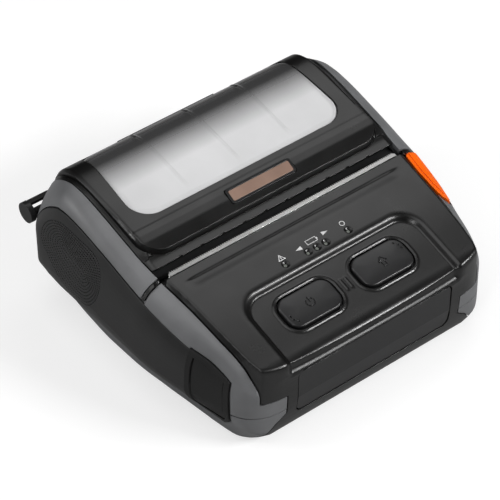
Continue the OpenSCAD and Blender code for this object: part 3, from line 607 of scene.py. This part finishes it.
def finished(made, name, slot, body, *nodes, exact=False):
    """Shades and names a piece, gives it its material, and puts it in place of its CAD nodes.

    exact takes the normals from the form. The record has no slot print_white.
    """
    made.name = name
    mesh = made.data
    mesh.shade_smooth()
    mesh.set_sharp_from_angle(angle=math.radians(38))
    if exact:
        take_form_normals(mesh)
    mesh.materials.clear()
    mesh.materials.append(MATERIALS[slot])
    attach(made, body)
    if nodes:
        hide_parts(*nodes)


def rounded(w, h, r, middle=(0, 0), steps=8):
    """Rounded rectangle as points."""
    points = []
    for q, (sx, sy) in enumerate(((1, 1), (-1, 1), (-1, -1), (1, -1))):
        for i in range(steps + 1):
            a = math.radians(90 * q + 90 * i / steps)
            points.append((middle[0] + sx * (w / 2 - r) + r * math.cos(a),
                           middle[1] + sy * (h / 2 - r) + r * math.sin(a)))
    return points


def circle(radius, count, middle=(0, 0)):
    return [(middle[0] + radius * math.cos(a), middle[1] + radius * math.sin(a))
            for a in np.linspace(0, 2 * math.pi, count + 1)[:-1]]


def spaced(outline, count=None):
    """Evenly spaced points along a closed outline: count of them, or one per HOLE_PITCH."""
    step = np.linalg.norm(np.roll(outline, -1, 0) - outline, axis=1)
    run = np.concatenate([[0], np.cumsum(step)])
    count = count or max(6, int(run[-1] / HOLE_PITCH))
    line = np.vstack([outline, outline[:1]])
    s = np.arange(count) * run[-1] / count
    return np.stack([np.interp(s, run, line[:, i]) for i in (0, 1)], 1)


def corner_arc(half, front, r, count):
    """Front right corner of a plan outline: points [x, y] from the front edge to the side."""
    return [(half - r + r * math.sin(a), front + r - r * math.cos(a))
            for a in np.linspace(0, math.pi / 2, count)]


def mirrored(right):
    """A plan outline from its right half."""
    return right + [(-x, y) for x, y in right[::-1]]


def eased(d, low, high):
    """0 up to low, 1 from high on, and a smooth step between."""
    t = np.clip((d - low) / (high - low), 0, 1)
    return t * t * (3 - 2 * t)


CORE = np.array([[0, -2, 30]])
CORE_HALF, CUBE_HALF = (48, 44, 12), (75, 69, 34)


def form_grid(n):
    """Points and faces of the closed outer form, from a grid on a box round CORE."""
    s = np.tan(np.linspace(-math.pi / 4, math.pi / 4, n + 1))
    points, faces = [], []
    for axis in range(3):
        u, v = [i for i in range(3) if i != axis]
        for side in (-1, 1):
            c = np.empty((n + 1, n + 1, 3))
            c[..., axis] = side
            c[..., u], c[..., v] = np.meshgrid(s, s, indexing="ij")
            first = len(points) * (n + 1) ** 2
            faces.append(np.array(grid_faces(n + 1, n + 1, first, (side > 0) == (axis == 1))))
            points.append(c.reshape(-1, 3))
    points, faces = np.vstack(points), np.vstack(faces)
    _, kept, same = np.unique(np.round(points, 6), axis=0, return_index=True, return_inverse=True)
    points, faces = points[kept], same.reshape(-1)[faces]
    return form.surface(CORE + points * CORE_HALF, points * CUBE_HALF), faces.tolist()


# Covers


form = Form()
BASE_P, BASE_FACES = form_grid(110)
BASE_S = form.slope(BASE_P)


def solid(t):
    """The closed outer form, t millimetres inside the covers' surface."""
    return new_object("solid", BASE_P - t * BASE_S, BASE_FACES)


def fan(xs, spine, path, step):
    """Points where rays at each x, from spine [y, z] through path, meet the form."""
    spine, path = np.asarray(spine, float), np.asarray(path, float)
    aim = path - spine
    angle = np.unwrap(np.arctan2(aim[:, 1], aim[:, 0]))
    many = np.linspace(0, 1, 4000)
    a = np.interp(many, np.linspace(0, 1, len(angle)), angle)
    ways = np.stack([0 * a, np.cos(a), np.sin(a)], 1)
    line = form.surface(np.tile([0, *spine], (len(a), 1)), ways)
    run = np.concatenate([[0], np.cumsum(np.linalg.norm(np.diff(line, axis=0), axis=1))])
    rows = int(run[-1] / step) + 1
    a = np.interp(np.linspace(0, run[-1], rows), run, a)
    start = np.stack([np.tile(xs, (rows, 1)), np.full((rows, len(xs)), spine[0]),
                      np.full((rows, len(xs)), spine[1])], -1).reshape(-1, 3)
    way = np.repeat(np.stack([0 * a, np.cos(a), np.sin(a)], 1), len(xs), axis=0)
    return form.surface(start, way).reshape(rows, len(xs), 3)


def relief_shell(name, base, depth, thick):
    """Closed shell whose outside lies depth(p) below the points base."""
    flat = base.reshape(-1, 3)
    normal = form.slope(flat)
    outer = flat - depth(flat)[:, None] * normal
    inner = outer - thick * normal
    return shell_from_grid(name, outer.reshape(base.shape), inner.reshape(base.shape))


def box_distance(x, y, half_x, half_y, r):
    """Inside distance to a rounded rectangle round the origin."""
    qx, qy = np.abs(x) - (half_x - r), np.abs(y) - (half_y - r)
    out = np.hypot(np.maximum(qx, 0), np.maximum(qy, 0)) + np.minimum(np.maximum(qx, qy), 0)
    return r - out


def seams(grow, a, b, low, high):
    """Prism of the plan region between the seams of black and grey."""
    ys = np.append(np.arange(a, b, 1.0), b)
    xs = along(ys, SEAM_X) + grow
    return prism(np.vstack([np.stack([xs, ys], 1), np.stack([-xs, ys], 1)[::-1]]), 2, low, high)


def panel_prisms(g):
    """The two regions of the front panel: its top, and the middle of the front face."""
    top = seams(g, -80, -10.4 + g, 24.2 - g, 100)
    face = prism([(-44 - g, 40), (-44 - g, 14.5), (-49 - g, 10.5), (-55 - g, 3 - g),
                  (55 + g, 3 - g), (49 + g, 10.5), (44 + g, 14.5), (44 + g, 40)], 1, -80, -55)
    return carved(top, ("add", face))


def band(low_y, high_y, shift):
    """The lower edge of the grey band between two depths, moved up by shift: points [y, z]."""
    ys = np.append(np.arange(low_y, high_y, 0.8), high_y)
    return [(y, z + shift) for y, z in zip(ys, along(ys, BAND_Z))]


# Outlines of covers, grown by g. The first three are side views, the next two are plans.


def lid_view(g):
    front = -9.6 - g
    return [(front, 100)] + band(front, 65, -g) + [(90, 39.2 - g), (90, 100)]


def side_view(g):
    front, rear, low = -34.6 - g, 61 + g, 9 - g
    return band(front, rear, g - 0.9) + [(rear, 20), (57 + g, 14), (50 + g, low), (front, low)]


def port_view(g):
    front, rear, low = -53.8 - g, -35.2 + g, 8.6 - g
    return band(front, rear, g) + [(rear, 9.6 - g), (-37.2, low), (-50, low), (front, 12.6)]


def lever_view(g):
    inner = [(61.6, -11.2 + g), (60.9, -20), (60.4, -28), (60.4, -33), (61.4, -36)]
    points = [(x - g, y) for x, y in inner] + [(63 - g, -37.4 - 1.4 * g)]
    outer = [(63, -37.4), (64.2, -36.6), (66.3, -28), (67.5, -20)]
    return points + [(x + g, y - 1.4 * g) for x, y in outer] + [(68.1 + g, -11.2 + g)]


def window_view(g):
    rear, back = 59, 50.4
    right = corner_arc(52.4, 14.3, 10, 12)
    right += [(back, rear - 3), (back - 0.9, rear - 0.9), (back - 3, rear)]
    return mirrored([(x + g, y + (g if y > 40 else -g)) for x, y in right])


def inside_parts(node, t):
    """What a CAD node has deeper than t under the covers' surface."""
    source = frame["nodes"][node]
    mesh = source.data.copy()
    made = bpy.data.objects.new(node + "_copy", mesh)
    bpy.context.scene.collection.objects.link(made)
    b = bmesh.new()
    b.from_mesh(mesh)
    bmesh.ops.transform(b, matrix=source.matrix_world, verts=b.verts)
    bmesh.ops.remove_doubles(b, verts=b.verts, dist=1e-6)
    bmesh.ops.recalc_face_normals(b, faces=b.faces)
    b.to_mesh(mesh)
    b.free()
    return carved(made, ("keep", solid(t)))


RECESS = [[0, 0], [1.2, 0.12], [2.2, 0.5], [3, 1.2], [3.6, 1.95], [4.2, 2.2]]  # inset, depth
CAP_X, CAP_Y = 18.5, -48.4
LAMPS, LAMP_Y = (-16, -4.5, 0, 4.5, 16), -30.1


def on_panel(x, y, lift=0.0):
    """Matrix of a place on the front panel's surface, in millimetres."""
    before, z, behind = along(np.array([y - 3.0, y, y + 3.0]), TOP_LINE)
    tilt = Matrix.Rotation(math.atan2(behind - before, 6), 4, "X")
    return Matrix.Translation((x, y + SLOT_Y, z)) @ tilt @ Matrix.Translation((0, 0, lift))


def placed(made, matrix):
    """Moves an object made round the origin to a place given in millimetres."""
    back = Matrix.Translation((0, -SLOT_Y, 0)) @ Matrix.Scale(1 / MM, 4)
    made.data.transform(Matrix.Scale(MM, 4) @ matrix @ back)
    return made


def panel_depth(p):
    """Depth of the front panel's relief. Raised details count below zero."""
    x, y, z = p.T
    inset = box_distance(x, y + 66, 45.9, 34.1, 11.9)
    d = np.interp(inset, *np.transpose(RECESS)) * eased(z, 33, 36.5)
    # a ridge round each button
    for side in (-1, 1):
        u, v = x - side * CAP_X, (y - CAP_Y) * 1.035
        ring_at = box_distance(u, v, 13.6, 8.1, 6.2)
        d = d - 0.42 * np.exp(-((ring_at + 0.95) / 0.42) ** 2)
    # crease across the panel, steep behind and shallow in front
    ends = eased(56 - np.abs(x), 0, 7)
    d = d + 0.5 * ends * eased(-y, 15.2, 16.4) * (1 - eased(-y, 16.6, 21.5))
    # a countersink at each lamp
    for lamp in LAMPS:
        r = np.hypot(x - lamp, (y - LAMP_Y) * 1.04)
        d = d + 0.75 * (1 - eased(r, 0.75, 1.7))
    # two short bars between the buttons
    for bar in (-1.15, 1.15):
        d = d - 0.35 * np.exp(-((x - bar) / 0.4) ** 2) * (1 - eased(np.abs(y - CAP_Y), 2.2, 3.2))
    return d


def make_front_panel():
    xs = np.arange(-62.4, 62.41, 0.4)
    path = [[-9, 56], [-30, 50], [-50, 46], [-62, 42], [-68.7, 37], [-67, 25], [-64, 8],
            [-61, 1.5]]
    base = fan(xs, [-46, 22], path, 0.4)
    made = relief_shell("front_panel_shell", base, panel_depth, 1.6)
    holes = [("cut", placed(prism(rounded(27.4, 16.4, 6.1), 2, -9, 3), on_panel(x, CAP_Y)))
             for x in (-CAP_X, CAP_X)]
    holes += [("cut", placed(prism(rounded(1.7, 1.7, 0.849), 2, -6, 3), on_panel(lamp, LAMP_Y)))
              for lamp in LAMPS]
    plate = prism(rounded(78.9, 23.3, 3.2, (0, 22.6)), 1, -80, -60)
    carved(made, ("keep", panel_prisms(0)), ("cut", plate), *holes,
           ("cut", block((-58.9, -10.9, 40), (58.9, 0, 60))))
    finished(made, "front_panel_shell", "cover_black", "case", "front_panel")


def twin(made):
    """A second object with its own copy of the mesh."""
    other = made.copy()
    other.data = made.data.copy()
    bpy.context.scene.collection.objects.link(other)
    return other


# Top of the lower case and bottom of the upper case, and the inner side of the hinge brackets
SPLIT_LOW, SPLIT_HIGH, BRACKET_X = 16.4, 16.85, 42.2
# Gaps between the case and the covers that it meets
PANEL_GAP, LID_GAP, LEVER_GAP, SIDE_GAP, PORT_GAP = 0.6, 0.75, 0.8, 0.5, 0.45


def make_case():
    """Grey shells above and below the split, with the CAD nodes' inner parts joined on."""
    panels = carved(prism(side_view(SIDE_GAP), 0, -90, 90),
                    ("add", prism(port_view(PORT_GAP), 0, -90, -50)), ("cut", solid(2.1)))
    upper = carved(solid(0), ("cut", solid(1.5)), ("cut", prism(lid_view(LID_GAP), 0, -90, 90)),
                   ("cut", panel_prisms(PANEL_GAP)),
                   ("cut", prism(lever_view(LEVER_GAP), 2, 30, 70)), ("cut", panels))
    lower = twin(upper)
    carved(upper, ("keep", block((-90, -90, SPLIT_HIGH), (90, 90, 100))),
           *cut_both((BRACKET_X, 60, 38), (57, 70, 47)))
    carved(upper, ("add", inside_parts("upper_case", 0.8)))
    finished(upper, "upper_case_grey", "case_grey", "case", "upper_case", exact=True)
    carved(lower, ("keep", block((-90, -90, -10), (90, 90, SPLIT_LOW))))
    carved(lower, ("cut", block((-34, -54, -2), (34, 0, 8))))
    carved(lower, ("add", inside_parts("lower_case", 0.8)))
    finished(lower, "lower_case_grey", "case_grey", "case", "lower_case", exact=True)


# Outline of the grille in the side view, and the two ends of the line its rings run round
GRILLE = [[13.5, 42], [14.6, 47.2], [17.3, 50.9], [22.5, 52.8], [29.1, 53.4], [35.6, 54.1],
          [41.6, 54.2], [47.7, 51.7], [51.8, 47.4], [53.3, 42.5], [52.4, 38], [47.4, 32.6],
          [41.2, 25.9], [33.3, 22.3], [26.6, 22.7], [21.6, 25.2], [17, 30.6], [14.4, 36.2]]
GRILLE_MID = [[37.3, 45.8], [23.9, 40.4]]
GRILLE_RINGS, HOLE_R, HOLE_PITCH = 10, 0.36, 1.06


def grille_holes(side):
    """Small round holes in rings round a short line, as one cutter."""
    outer = softened(GRILLE, 3)
    a, b = (np.array(p, float) for p in GRILLE_MID)
    t = np.clip(((outer - b) @ (a - b)) / ((a - b) @ (a - b)), 0, 1)
    middle = b + t[:, None] * (a - b)
    points, faces = [], []
    corner = circle(HOLE_R, 8)
    for k in range(1, GRILLE_RINGS + 1):
        line = middle + (outer - middle) * (k - 0.35) / 9.65
        for y, z in spaced(line):
            n = len(points)
            for x in (side * 60, side * 80):
                points += [(x, y + u, z + v) for u, v in corner]
            faces += [[n + i, n + (i + 1) % 8, n + 8 + (i + 1) % 8, n + 8 + i] for i in range(8)]
            faces += [list(range(n, n + 8))[::-1], list(range(n + 8, n + 16))]
    made = new_object("holes", points, faces)
    outwards(made)
    return made


def make_sides():
    for side, name in ((-1, "side_panel_left"), (1, "side_panel_right")):
        low, high = (-90, -50) if side < 0 else (50, 90)
        made = carved(solid(0), ("cut", solid(1.8)),
                      ("keep", prism(side_view(0.25), 0, low, high)), ("cut", grille_holes(side)))
        if side > 0:
            carved(made, ("cut", prism(lever_view(LEVER_GAP), 2, 33, 70)))
        finished(made, name + "_cover", "side_black", "case", name, exact=True)


def make_port_cover():
    """Rubber flap with a raised rim and a groove inside it."""
    rim = 2.1
    made = carved(solid(-0.55), ("cut", solid(1.6)), ("keep", prism(port_view(0), 0, -90, -50)))
    sunk = carved(prism(port_view(-rim), 0, -90, -50), ("cut", solid(-0.1)))
    ring = carved(prism(port_view(-rim), 0, -90, -50),
                  ("cut", prism(port_view(-rim - 0.5), 0, -95, -45)), ("cut", solid(0.4)))
    carved(made, ("cut", sunk))
    carved(made, ("cut", ring))
    finished(made, "port_cover_flap", "flap_rubber", "port_flap", "port_cover", exact=True)


def lid_outline(g):
    """Plan outline of the raised middle of the lid, grown by g."""
    return mirrored(corner_arc(60 + g, -0.6 - g, 10.2, 14) + [(60 + g, 90)])


# Front edge of the raised middle, steeper than the form behind it: points [y, z]
LID_FRONT = [[-1.6, 50], [-1.6, 58], [-0.6, 58.35], [2, 59.75], [4.5, 60.95], [8, 62],
             [11, 62.45]]
BADGE_TURN = Matrix.Rotation(math.radians(27), 4, "X")
BADGE_PLACE = Matrix.Translation((0, 5.2 + SLOT_Y, 61.1)) @ BADGE_TURN


def raise_front(mesh, base, spine):
    """Moves the shell over base out from spine, so that its front edge follows LID_FRONT."""
    columns = base.shape[1]
    centre = base[:, columns // 2, 1:]
    angle = np.arctan2(centre[:, 1] - spine[1], centre[:, 0] - spine[0])
    stretches = [np.linspace(a, b, 30) for a, b in zip(LID_FRONT, LID_FRONT[1:])]
    dense = np.vstack(stretches) - spine
    target = np.arctan2(dense[:, 1], dense[:, 0])
    reach = np.interp(-angle, -target, np.hypot(*dense.T))
    shift = spine + reach[:, None] * np.stack([np.cos(angle), np.sin(angle)], 1) - centre
    shift[angle < target[-1]] = 0
    p = read(mesh.vertices, "co", 3)
    p[:, 1:] += np.tile(np.repeat(shift, columns, axis=0), (2, 1)) * MM
    mesh.vertices.foreach_set("co", p.reshape(-1))


def make_lid():
    """Black cover of the lid: a ledge all round, and the raised middle with its window hole."""
    xs = np.arange(-62.8, 62.81, 0.6)
    spine = np.array([30.0, 30.0])
    path = [[-6.0, 56], [8, 62], [30, 66], [48, 70], [60, 62], [66, 50], [66, 36]]

    def ledge_depth(p):
        # outside the raised middle the surface is a flat ledge at the seam's height
        x, y, z = p.T
        rise = z - along(y, SEAM_Z)
        behind = eased(y, 50, 60)
        d = (0.35 + np.maximum(rise, 0) * 0.75) * (1 - behind) + 0.3 * behind
        return np.where(y < 0.9, 0.0, d)

    base = fan(xs, spine, path, 0.55)
    low = relief_shell("ledge", base, ledge_depth, 1.3)
    above = relief_shell("above", base, lambda p: ledge_depth(p) + 0.55, -3.5)
    outwards(above)
    groove = carved(prism(lid_outline(0.55), 2, 30, 100),
                    ("cut", prism(lid_outline(-0.1), 2, 20, 110)), ("keep", above))
    high = relief_shell("lid_cover_black", base, lambda p: np.zeros(len(p)), 3.2)
    raise_front(high.data, base, spine)
    carved(high, ("keep", prism(lid_outline(0), 2, 30, 100)))
    # the lip over the slot has ten notches
    notches = [("cut", block((x - 0.8, -8, 50), (x + 0.8, -4.1, 60)))
               for x in (np.arange(10) - 4.5) * 10.6]
    carved(low, ("cut", block((-59.2, -20, 40), (59.2, -5.8, 60))), *notches)
    carved(low, ("cut", groove))
    badge = placed(prism(rounded(33.2, 7.4, 1.4), 2, -1.5, 3), BADGE_PLACE)
    carved(high, ("add", low))
    carved(high, ("keep", seams(-0.3, -30, 80, 30, 100)),
           ("keep", prism(lid_view(0), 0, -90, 90)))
    carved(high, ("cut", prism(window_view(0.3), 2, 50, 90)), ("cut", badge))
    # gaps for the hinge brackets
    carved(high, *cut_both((BRACKET_X, 55, 36), (49.8, 70, 46.6)))
    finished(high, "lid_cover_black", "cover_black", "lid", "lid_cover")


def make_shoulders():
    """Grey sides of the lid, each with a black lip at its front end."""
    for side, name in ((-1, "lid_shoulder_left"), (1, "lid_shoulder_right")):
        low, high = (-90, -40) if side < 0 else (40, 90)
        made = carved(solid(0), ("cut", solid(2)),
                      ("keep", block((low, -30, 20), (high, 90, 100))),
                      ("cut", seams(0.3, -40, 100, 10, 120)),
                      ("keep", prism(lid_view(0), 0, -95, 95)))
        lip = carved(twin(made), ("keep", block((low, -30, 20), (high, -8.15, 100))),
                     ("keep", solid(0.25)))
        finished(lip, name + "_lip", "cover_black", "lid", exact=True)
        carved(made, ("cut", block((low, -30, 20), (high, -7.85, 100))))
        finished(made, name + "_grey", "case_grey", "lid", name, exact=True)


def make_window():
    xs = np.arange(-53.6, 53.61, 0.4)
    path = [[12, 62], [30, 66], [48, 70], [62, 62]]

    def ribs(p):
        # a sunk pane with a higher border and three raised ribs
        x, y, _ = p.T
        e = box_distance(x, y - 36.9, 52.4, 22.6, 9)
        d = np.full(len(x), 0.1) + 0.55 * (1 - eased(e, 0, 2.4))
        for rib in (-26, 0, 26):
            d = d - 0.3 * np.exp(-((x - rib) / 0.5) ** 2) * eased(y, 17, 22)
        return d

    made = relief_shell("window_pane", fan(xs, [34, 30], path, 0.5), ribs, 1.5)
    carved(made, ("keep", prism(window_view(-0.1), 2, 40, 90)))
    finished(made, "window_pane", "window_smoke", "lid", "window")


# Small pieces


def domed_slab(name, half_x, half_y, r, low, high, crown, edge):
    """Rounded slab round the origin with a crowned top and a rolled edge."""
    n = 96

    def ring_at(inset, z):
        w, h = 2 * (half_x - inset), 2 * (half_y - inset)
        out = np.array(rounded(w, h, max(r - inset, 0.3), steps=23))
        return [(x, y, z) for x, y in spaced(out, n)]

    rings = [ring_at(0, low)]
    for a in np.linspace(0, math.pi / 2, 7):
        rings.append(ring_at(edge * (1 - math.cos(a)), high - edge + edge * math.sin(a)))
    for k in (0.25, 0.45, 0.65, 0.85, 0.97):
        deep = edge + k * (half_y - edge - 0.35)
        rings.append(ring_at(deep, high + crown * (1 - (1 - k) ** 2)))
    points = sum(rings, [])
    faces = grid_faces(len(rings), n, closed=True)
    faces += [list(range(n))[::-1], list(range((len(rings) - 1) * n, len(rings) * n))]
    made = new_object(name, points, faces)
    outwards(made)
    return made


def stroke(points, width, low, high):
    """Bar along a line of points, as one prism per stretch."""
    bars = []
    for a, b in zip(points, points[1:]):
        a, b = np.array(a, float), np.array(b, float)
        u = (b - a) / np.linalg.norm(b - a)
        v = np.array([-u[1], u[0]]) * width / 2
        a, b = a - u * width / 2, b + u * width / 2
        bars.append(prism([a - v, b - v, b + v, a + v], 2, low, high))
    return bars


def joined(parts):
    """One piece of several solids."""
    return carved(parts[0], *[("add", p) for p in parts[1:]])


def power_symbol(low, high):
    arc = [(1.85 * math.sin(a), -1.85 * math.cos(a)) for a in np.linspace(-2.4, 2.4, 17)]
    return joined(stroke(arc, 0.48, low, high) + stroke([(0, 0.2), (0, 2.4)], 0.48, low, high))


def arrow_symbol(low, high):
    outline = [(-0.8, -2.3), (-0.8, 0.2), (-1.9, 0.2), (0, 2.5), (1.9, 0.2), (0.8, 0.2),
               (0.8, -2.3), (-0.8, -2.3)]
    return joined(stroke(outline, 0.42, low, high))


def make_buttons():
    """Domed caps, each with a foot, its engraved symbol and three dimples."""
    top = -1.15
    for side, name, body in ((-1, "power_button", "power_key"), (1, "feed_button", "feed_key")):
        cap = domed_slab(name + "_cap", 12.8, 7.35, 4.9, -4.6, top, crown=0.35, edge=0.8)
        foot = prism(rounded(28.4, 17.4, 6), 2, -5.6, -4.5)
        marks = power_symbol(top, 0) if side < 0 else arrow_symbol(top, 0)
        steps = [("add", foot), ("cut", marks)]
        for x, y in ((10.9, 1.4), (10.6, 3.2), (9.3, 4.7)):
            steps.append(("cut", prism(circle(0.5, 12, (side * x, side * y)), 2, -1.5, 0)))
        carved(cap, *steps)
        placed(cap, on_panel(side * CAP_X, CAP_Y))
        finished(cap, name + "_cap", "button_black", body, name)


def make_lamps():
    lenses = [placed(prism(circle(0.74, 24), 2, -5, -0.95), on_panel(x, LAMP_Y)) for x in LAMPS]
    finished(joined(lenses), "lamp_lens_row", "lens", "case", "lamp_lenses")


def printed(name, parts, x, y):
    """A mark on the front panel."""
    finished(placed(joined(parts), on_panel(x, y, 0.05)), name, "print_white", "case")


def make_marks():
    """Plain pictograms at the lamps: a warning triangle, a battery between two arrows, a ring."""
    h = 0.04
    tri = [(-1.5, -1), (0, 1.4), (1.5, -1), (-1.5, -1)]
    bar = stroke([(0, 0.35), (0, -0.45)], 0.3, -h, h)
    printed("mark_warning", stroke(tri, 0.32, -h, h) + bar, -15.8, -26.7)
    cell = [(-2.6, -1), (2.3, -1), (2.3, 1), (-2.6, 1), (-2.6, -1)]
    tip = [(2.4, -0.45), (2.9, -0.45), (2.9, 0.45), (2.4, 0.45)]
    printed("mark_battery", stroke(cell, 0.26, -h, h) + [prism(tip, 2, -h, h)], 0, -26.4)
    printed("mark_less", [prism([(-2, 0), (1, -0.9), (1, 0.9)], 2, -h, h)], -6.6, -27.1)
    printed("mark_more", [prism([(2, 0), (-1, 0.9), (-1, -0.9)], 2, -h, h)], 6.6, -25.9)
    hoop = circle(1.05, 16)
    printed("mark_ready", stroke(hoop + hoop[:1], 0.32, -h, h), 15.8, -26.2)


def make_lever():
    """Cover of the release lever, and its arm to the latch shaft."""
    made = carved(solid(-0.7), ("cut", solid(1.6)), ("keep", prism(lever_view(0), 2, 30, 70)))
    # finger steps low on the outer slope, and a line along the inner ridge
    for y, x in ((-28.6, 70.85), (-24.7, 71.4), (-20.8, 71.6)):
        step = prism([(x - 1.6, y), (90, y), (90, y + 2.6), (x - 0.3, y + 2.6)], 2, 30, 70)
        carved(made, ("cut", carved(step, ("cut", solid(0.35)))))
    ridge = [(63.5, -11), (62.8, -20), (62.3, -28), (63.1, -34)]
    bars = joined(stroke(ridge, 0.45, 30, 80))
    carved(bars, ("cut", solid(-0.45)))
    carved(made, ("cut", bars))
    arm = prism([(-24, 46.6), (-14, 48.6), (6, 31), (3, 26.5), (-1, 27)], 0, 62.6, 64.8)
    shaft_hole = prism(circle(2, 24, (2, 30)), 0, 60, 70)
    carved(made, ("add", carved(arm, ("cut", shaft_hole))))
    finished(made, "release_lever_orange", "lever_orange", "latch", "release_lever", exact=True)


def make_badge():
    """Bare plate: a dark frame round a bronze face."""
    plate = placed(prism(rounded(32.6, 6.8, 1.2), 2, -1.2, 0.42), BADGE_PLACE)
    carved(plate, ("cut", placed(prism(rounded(30.6, 4.9, 0.7), 2, 0.25, 2), BADGE_PLACE)))
    finished(plate, "badge_frame", "plate_dark", "lid", "badge_plate")
    face = placed(prism(rounded(30.4, 4.7, 0.6), 2, 0.2, 0.38), BADGE_PLACE)
    finished(face, "badge_face", "badge", "lid")


def make_lip():
    made = prism(circle(0.8, 16, (61.3, 59.7)), 0, -29, 20)
    finished(made, "lid_finger_lip", "cover_black", "lid")


def make_tear_bar():
    teeth, half, far = 114, 57.2, 57.7
    outline = [(-far, -10.6), (-far, -9.5), (-half, -9.2)]
    for i in range(teeth):
        outline += [(i - teeth / 2, -9.2), (i - teeth / 2 + 0.5, -8.45)]
    outline += [(half, -9.2), (far, -9.5), (far, -10.6), (half, -10.9), (-half, -10.9)]
    made = prism(outline, 2, 53.75, 54.55)
    back = prism([(-58, -10.8), (58, -10.8), (58, -10), (-58, -10)], 2, 50.3, 53.9)
    carved(made, ("add", back))
    finished(made, "tear_bar_serrated", "steel", "case", "tear_bar")


# The scene

make_front_panel()
make_case()
make_sides()
make_port_cover()
make_lid()
make_shoulders()
make_window()
make_buttons()
make_lamps()
make_marks()
make_lever()
make_badge()
make_lip()
make_tear_bar()

make_camera()
make_world()
area_light("key", (0.62, 0.4, 1.1), (0, 0, 0.04), (0.6, 0.6), 2.2)
area_light("top", (-0.5, 0.1, 1.5), (0, 0, 0.03), (1.4, 1.2), 9)
area_light("chin", (0.75, -1.0, 0.85), (0, 0, 0.03), (0.6, 0.15), 17)
area_light("front_left", (-1.1, -0.62, 0.75), (0, 0, 0.03), (0.3, 0.5), 4)
area_light("left", (-1.3, 0.9, 0.7), (0, 0, 0.03), (0.4, 0.6), 7)
make_floor()
bpy.context.scene.view_settings.view_transform = "Standard"

for row in frame["record"]["subparts"]:
    node = frame["nodes"][row["node"]]
    node.data.materials.clear()
    look = "rod_black" if row["node"] == "hinge_rod" else row["material_slot"]
    node.data.materials.append(MATERIALS[look])
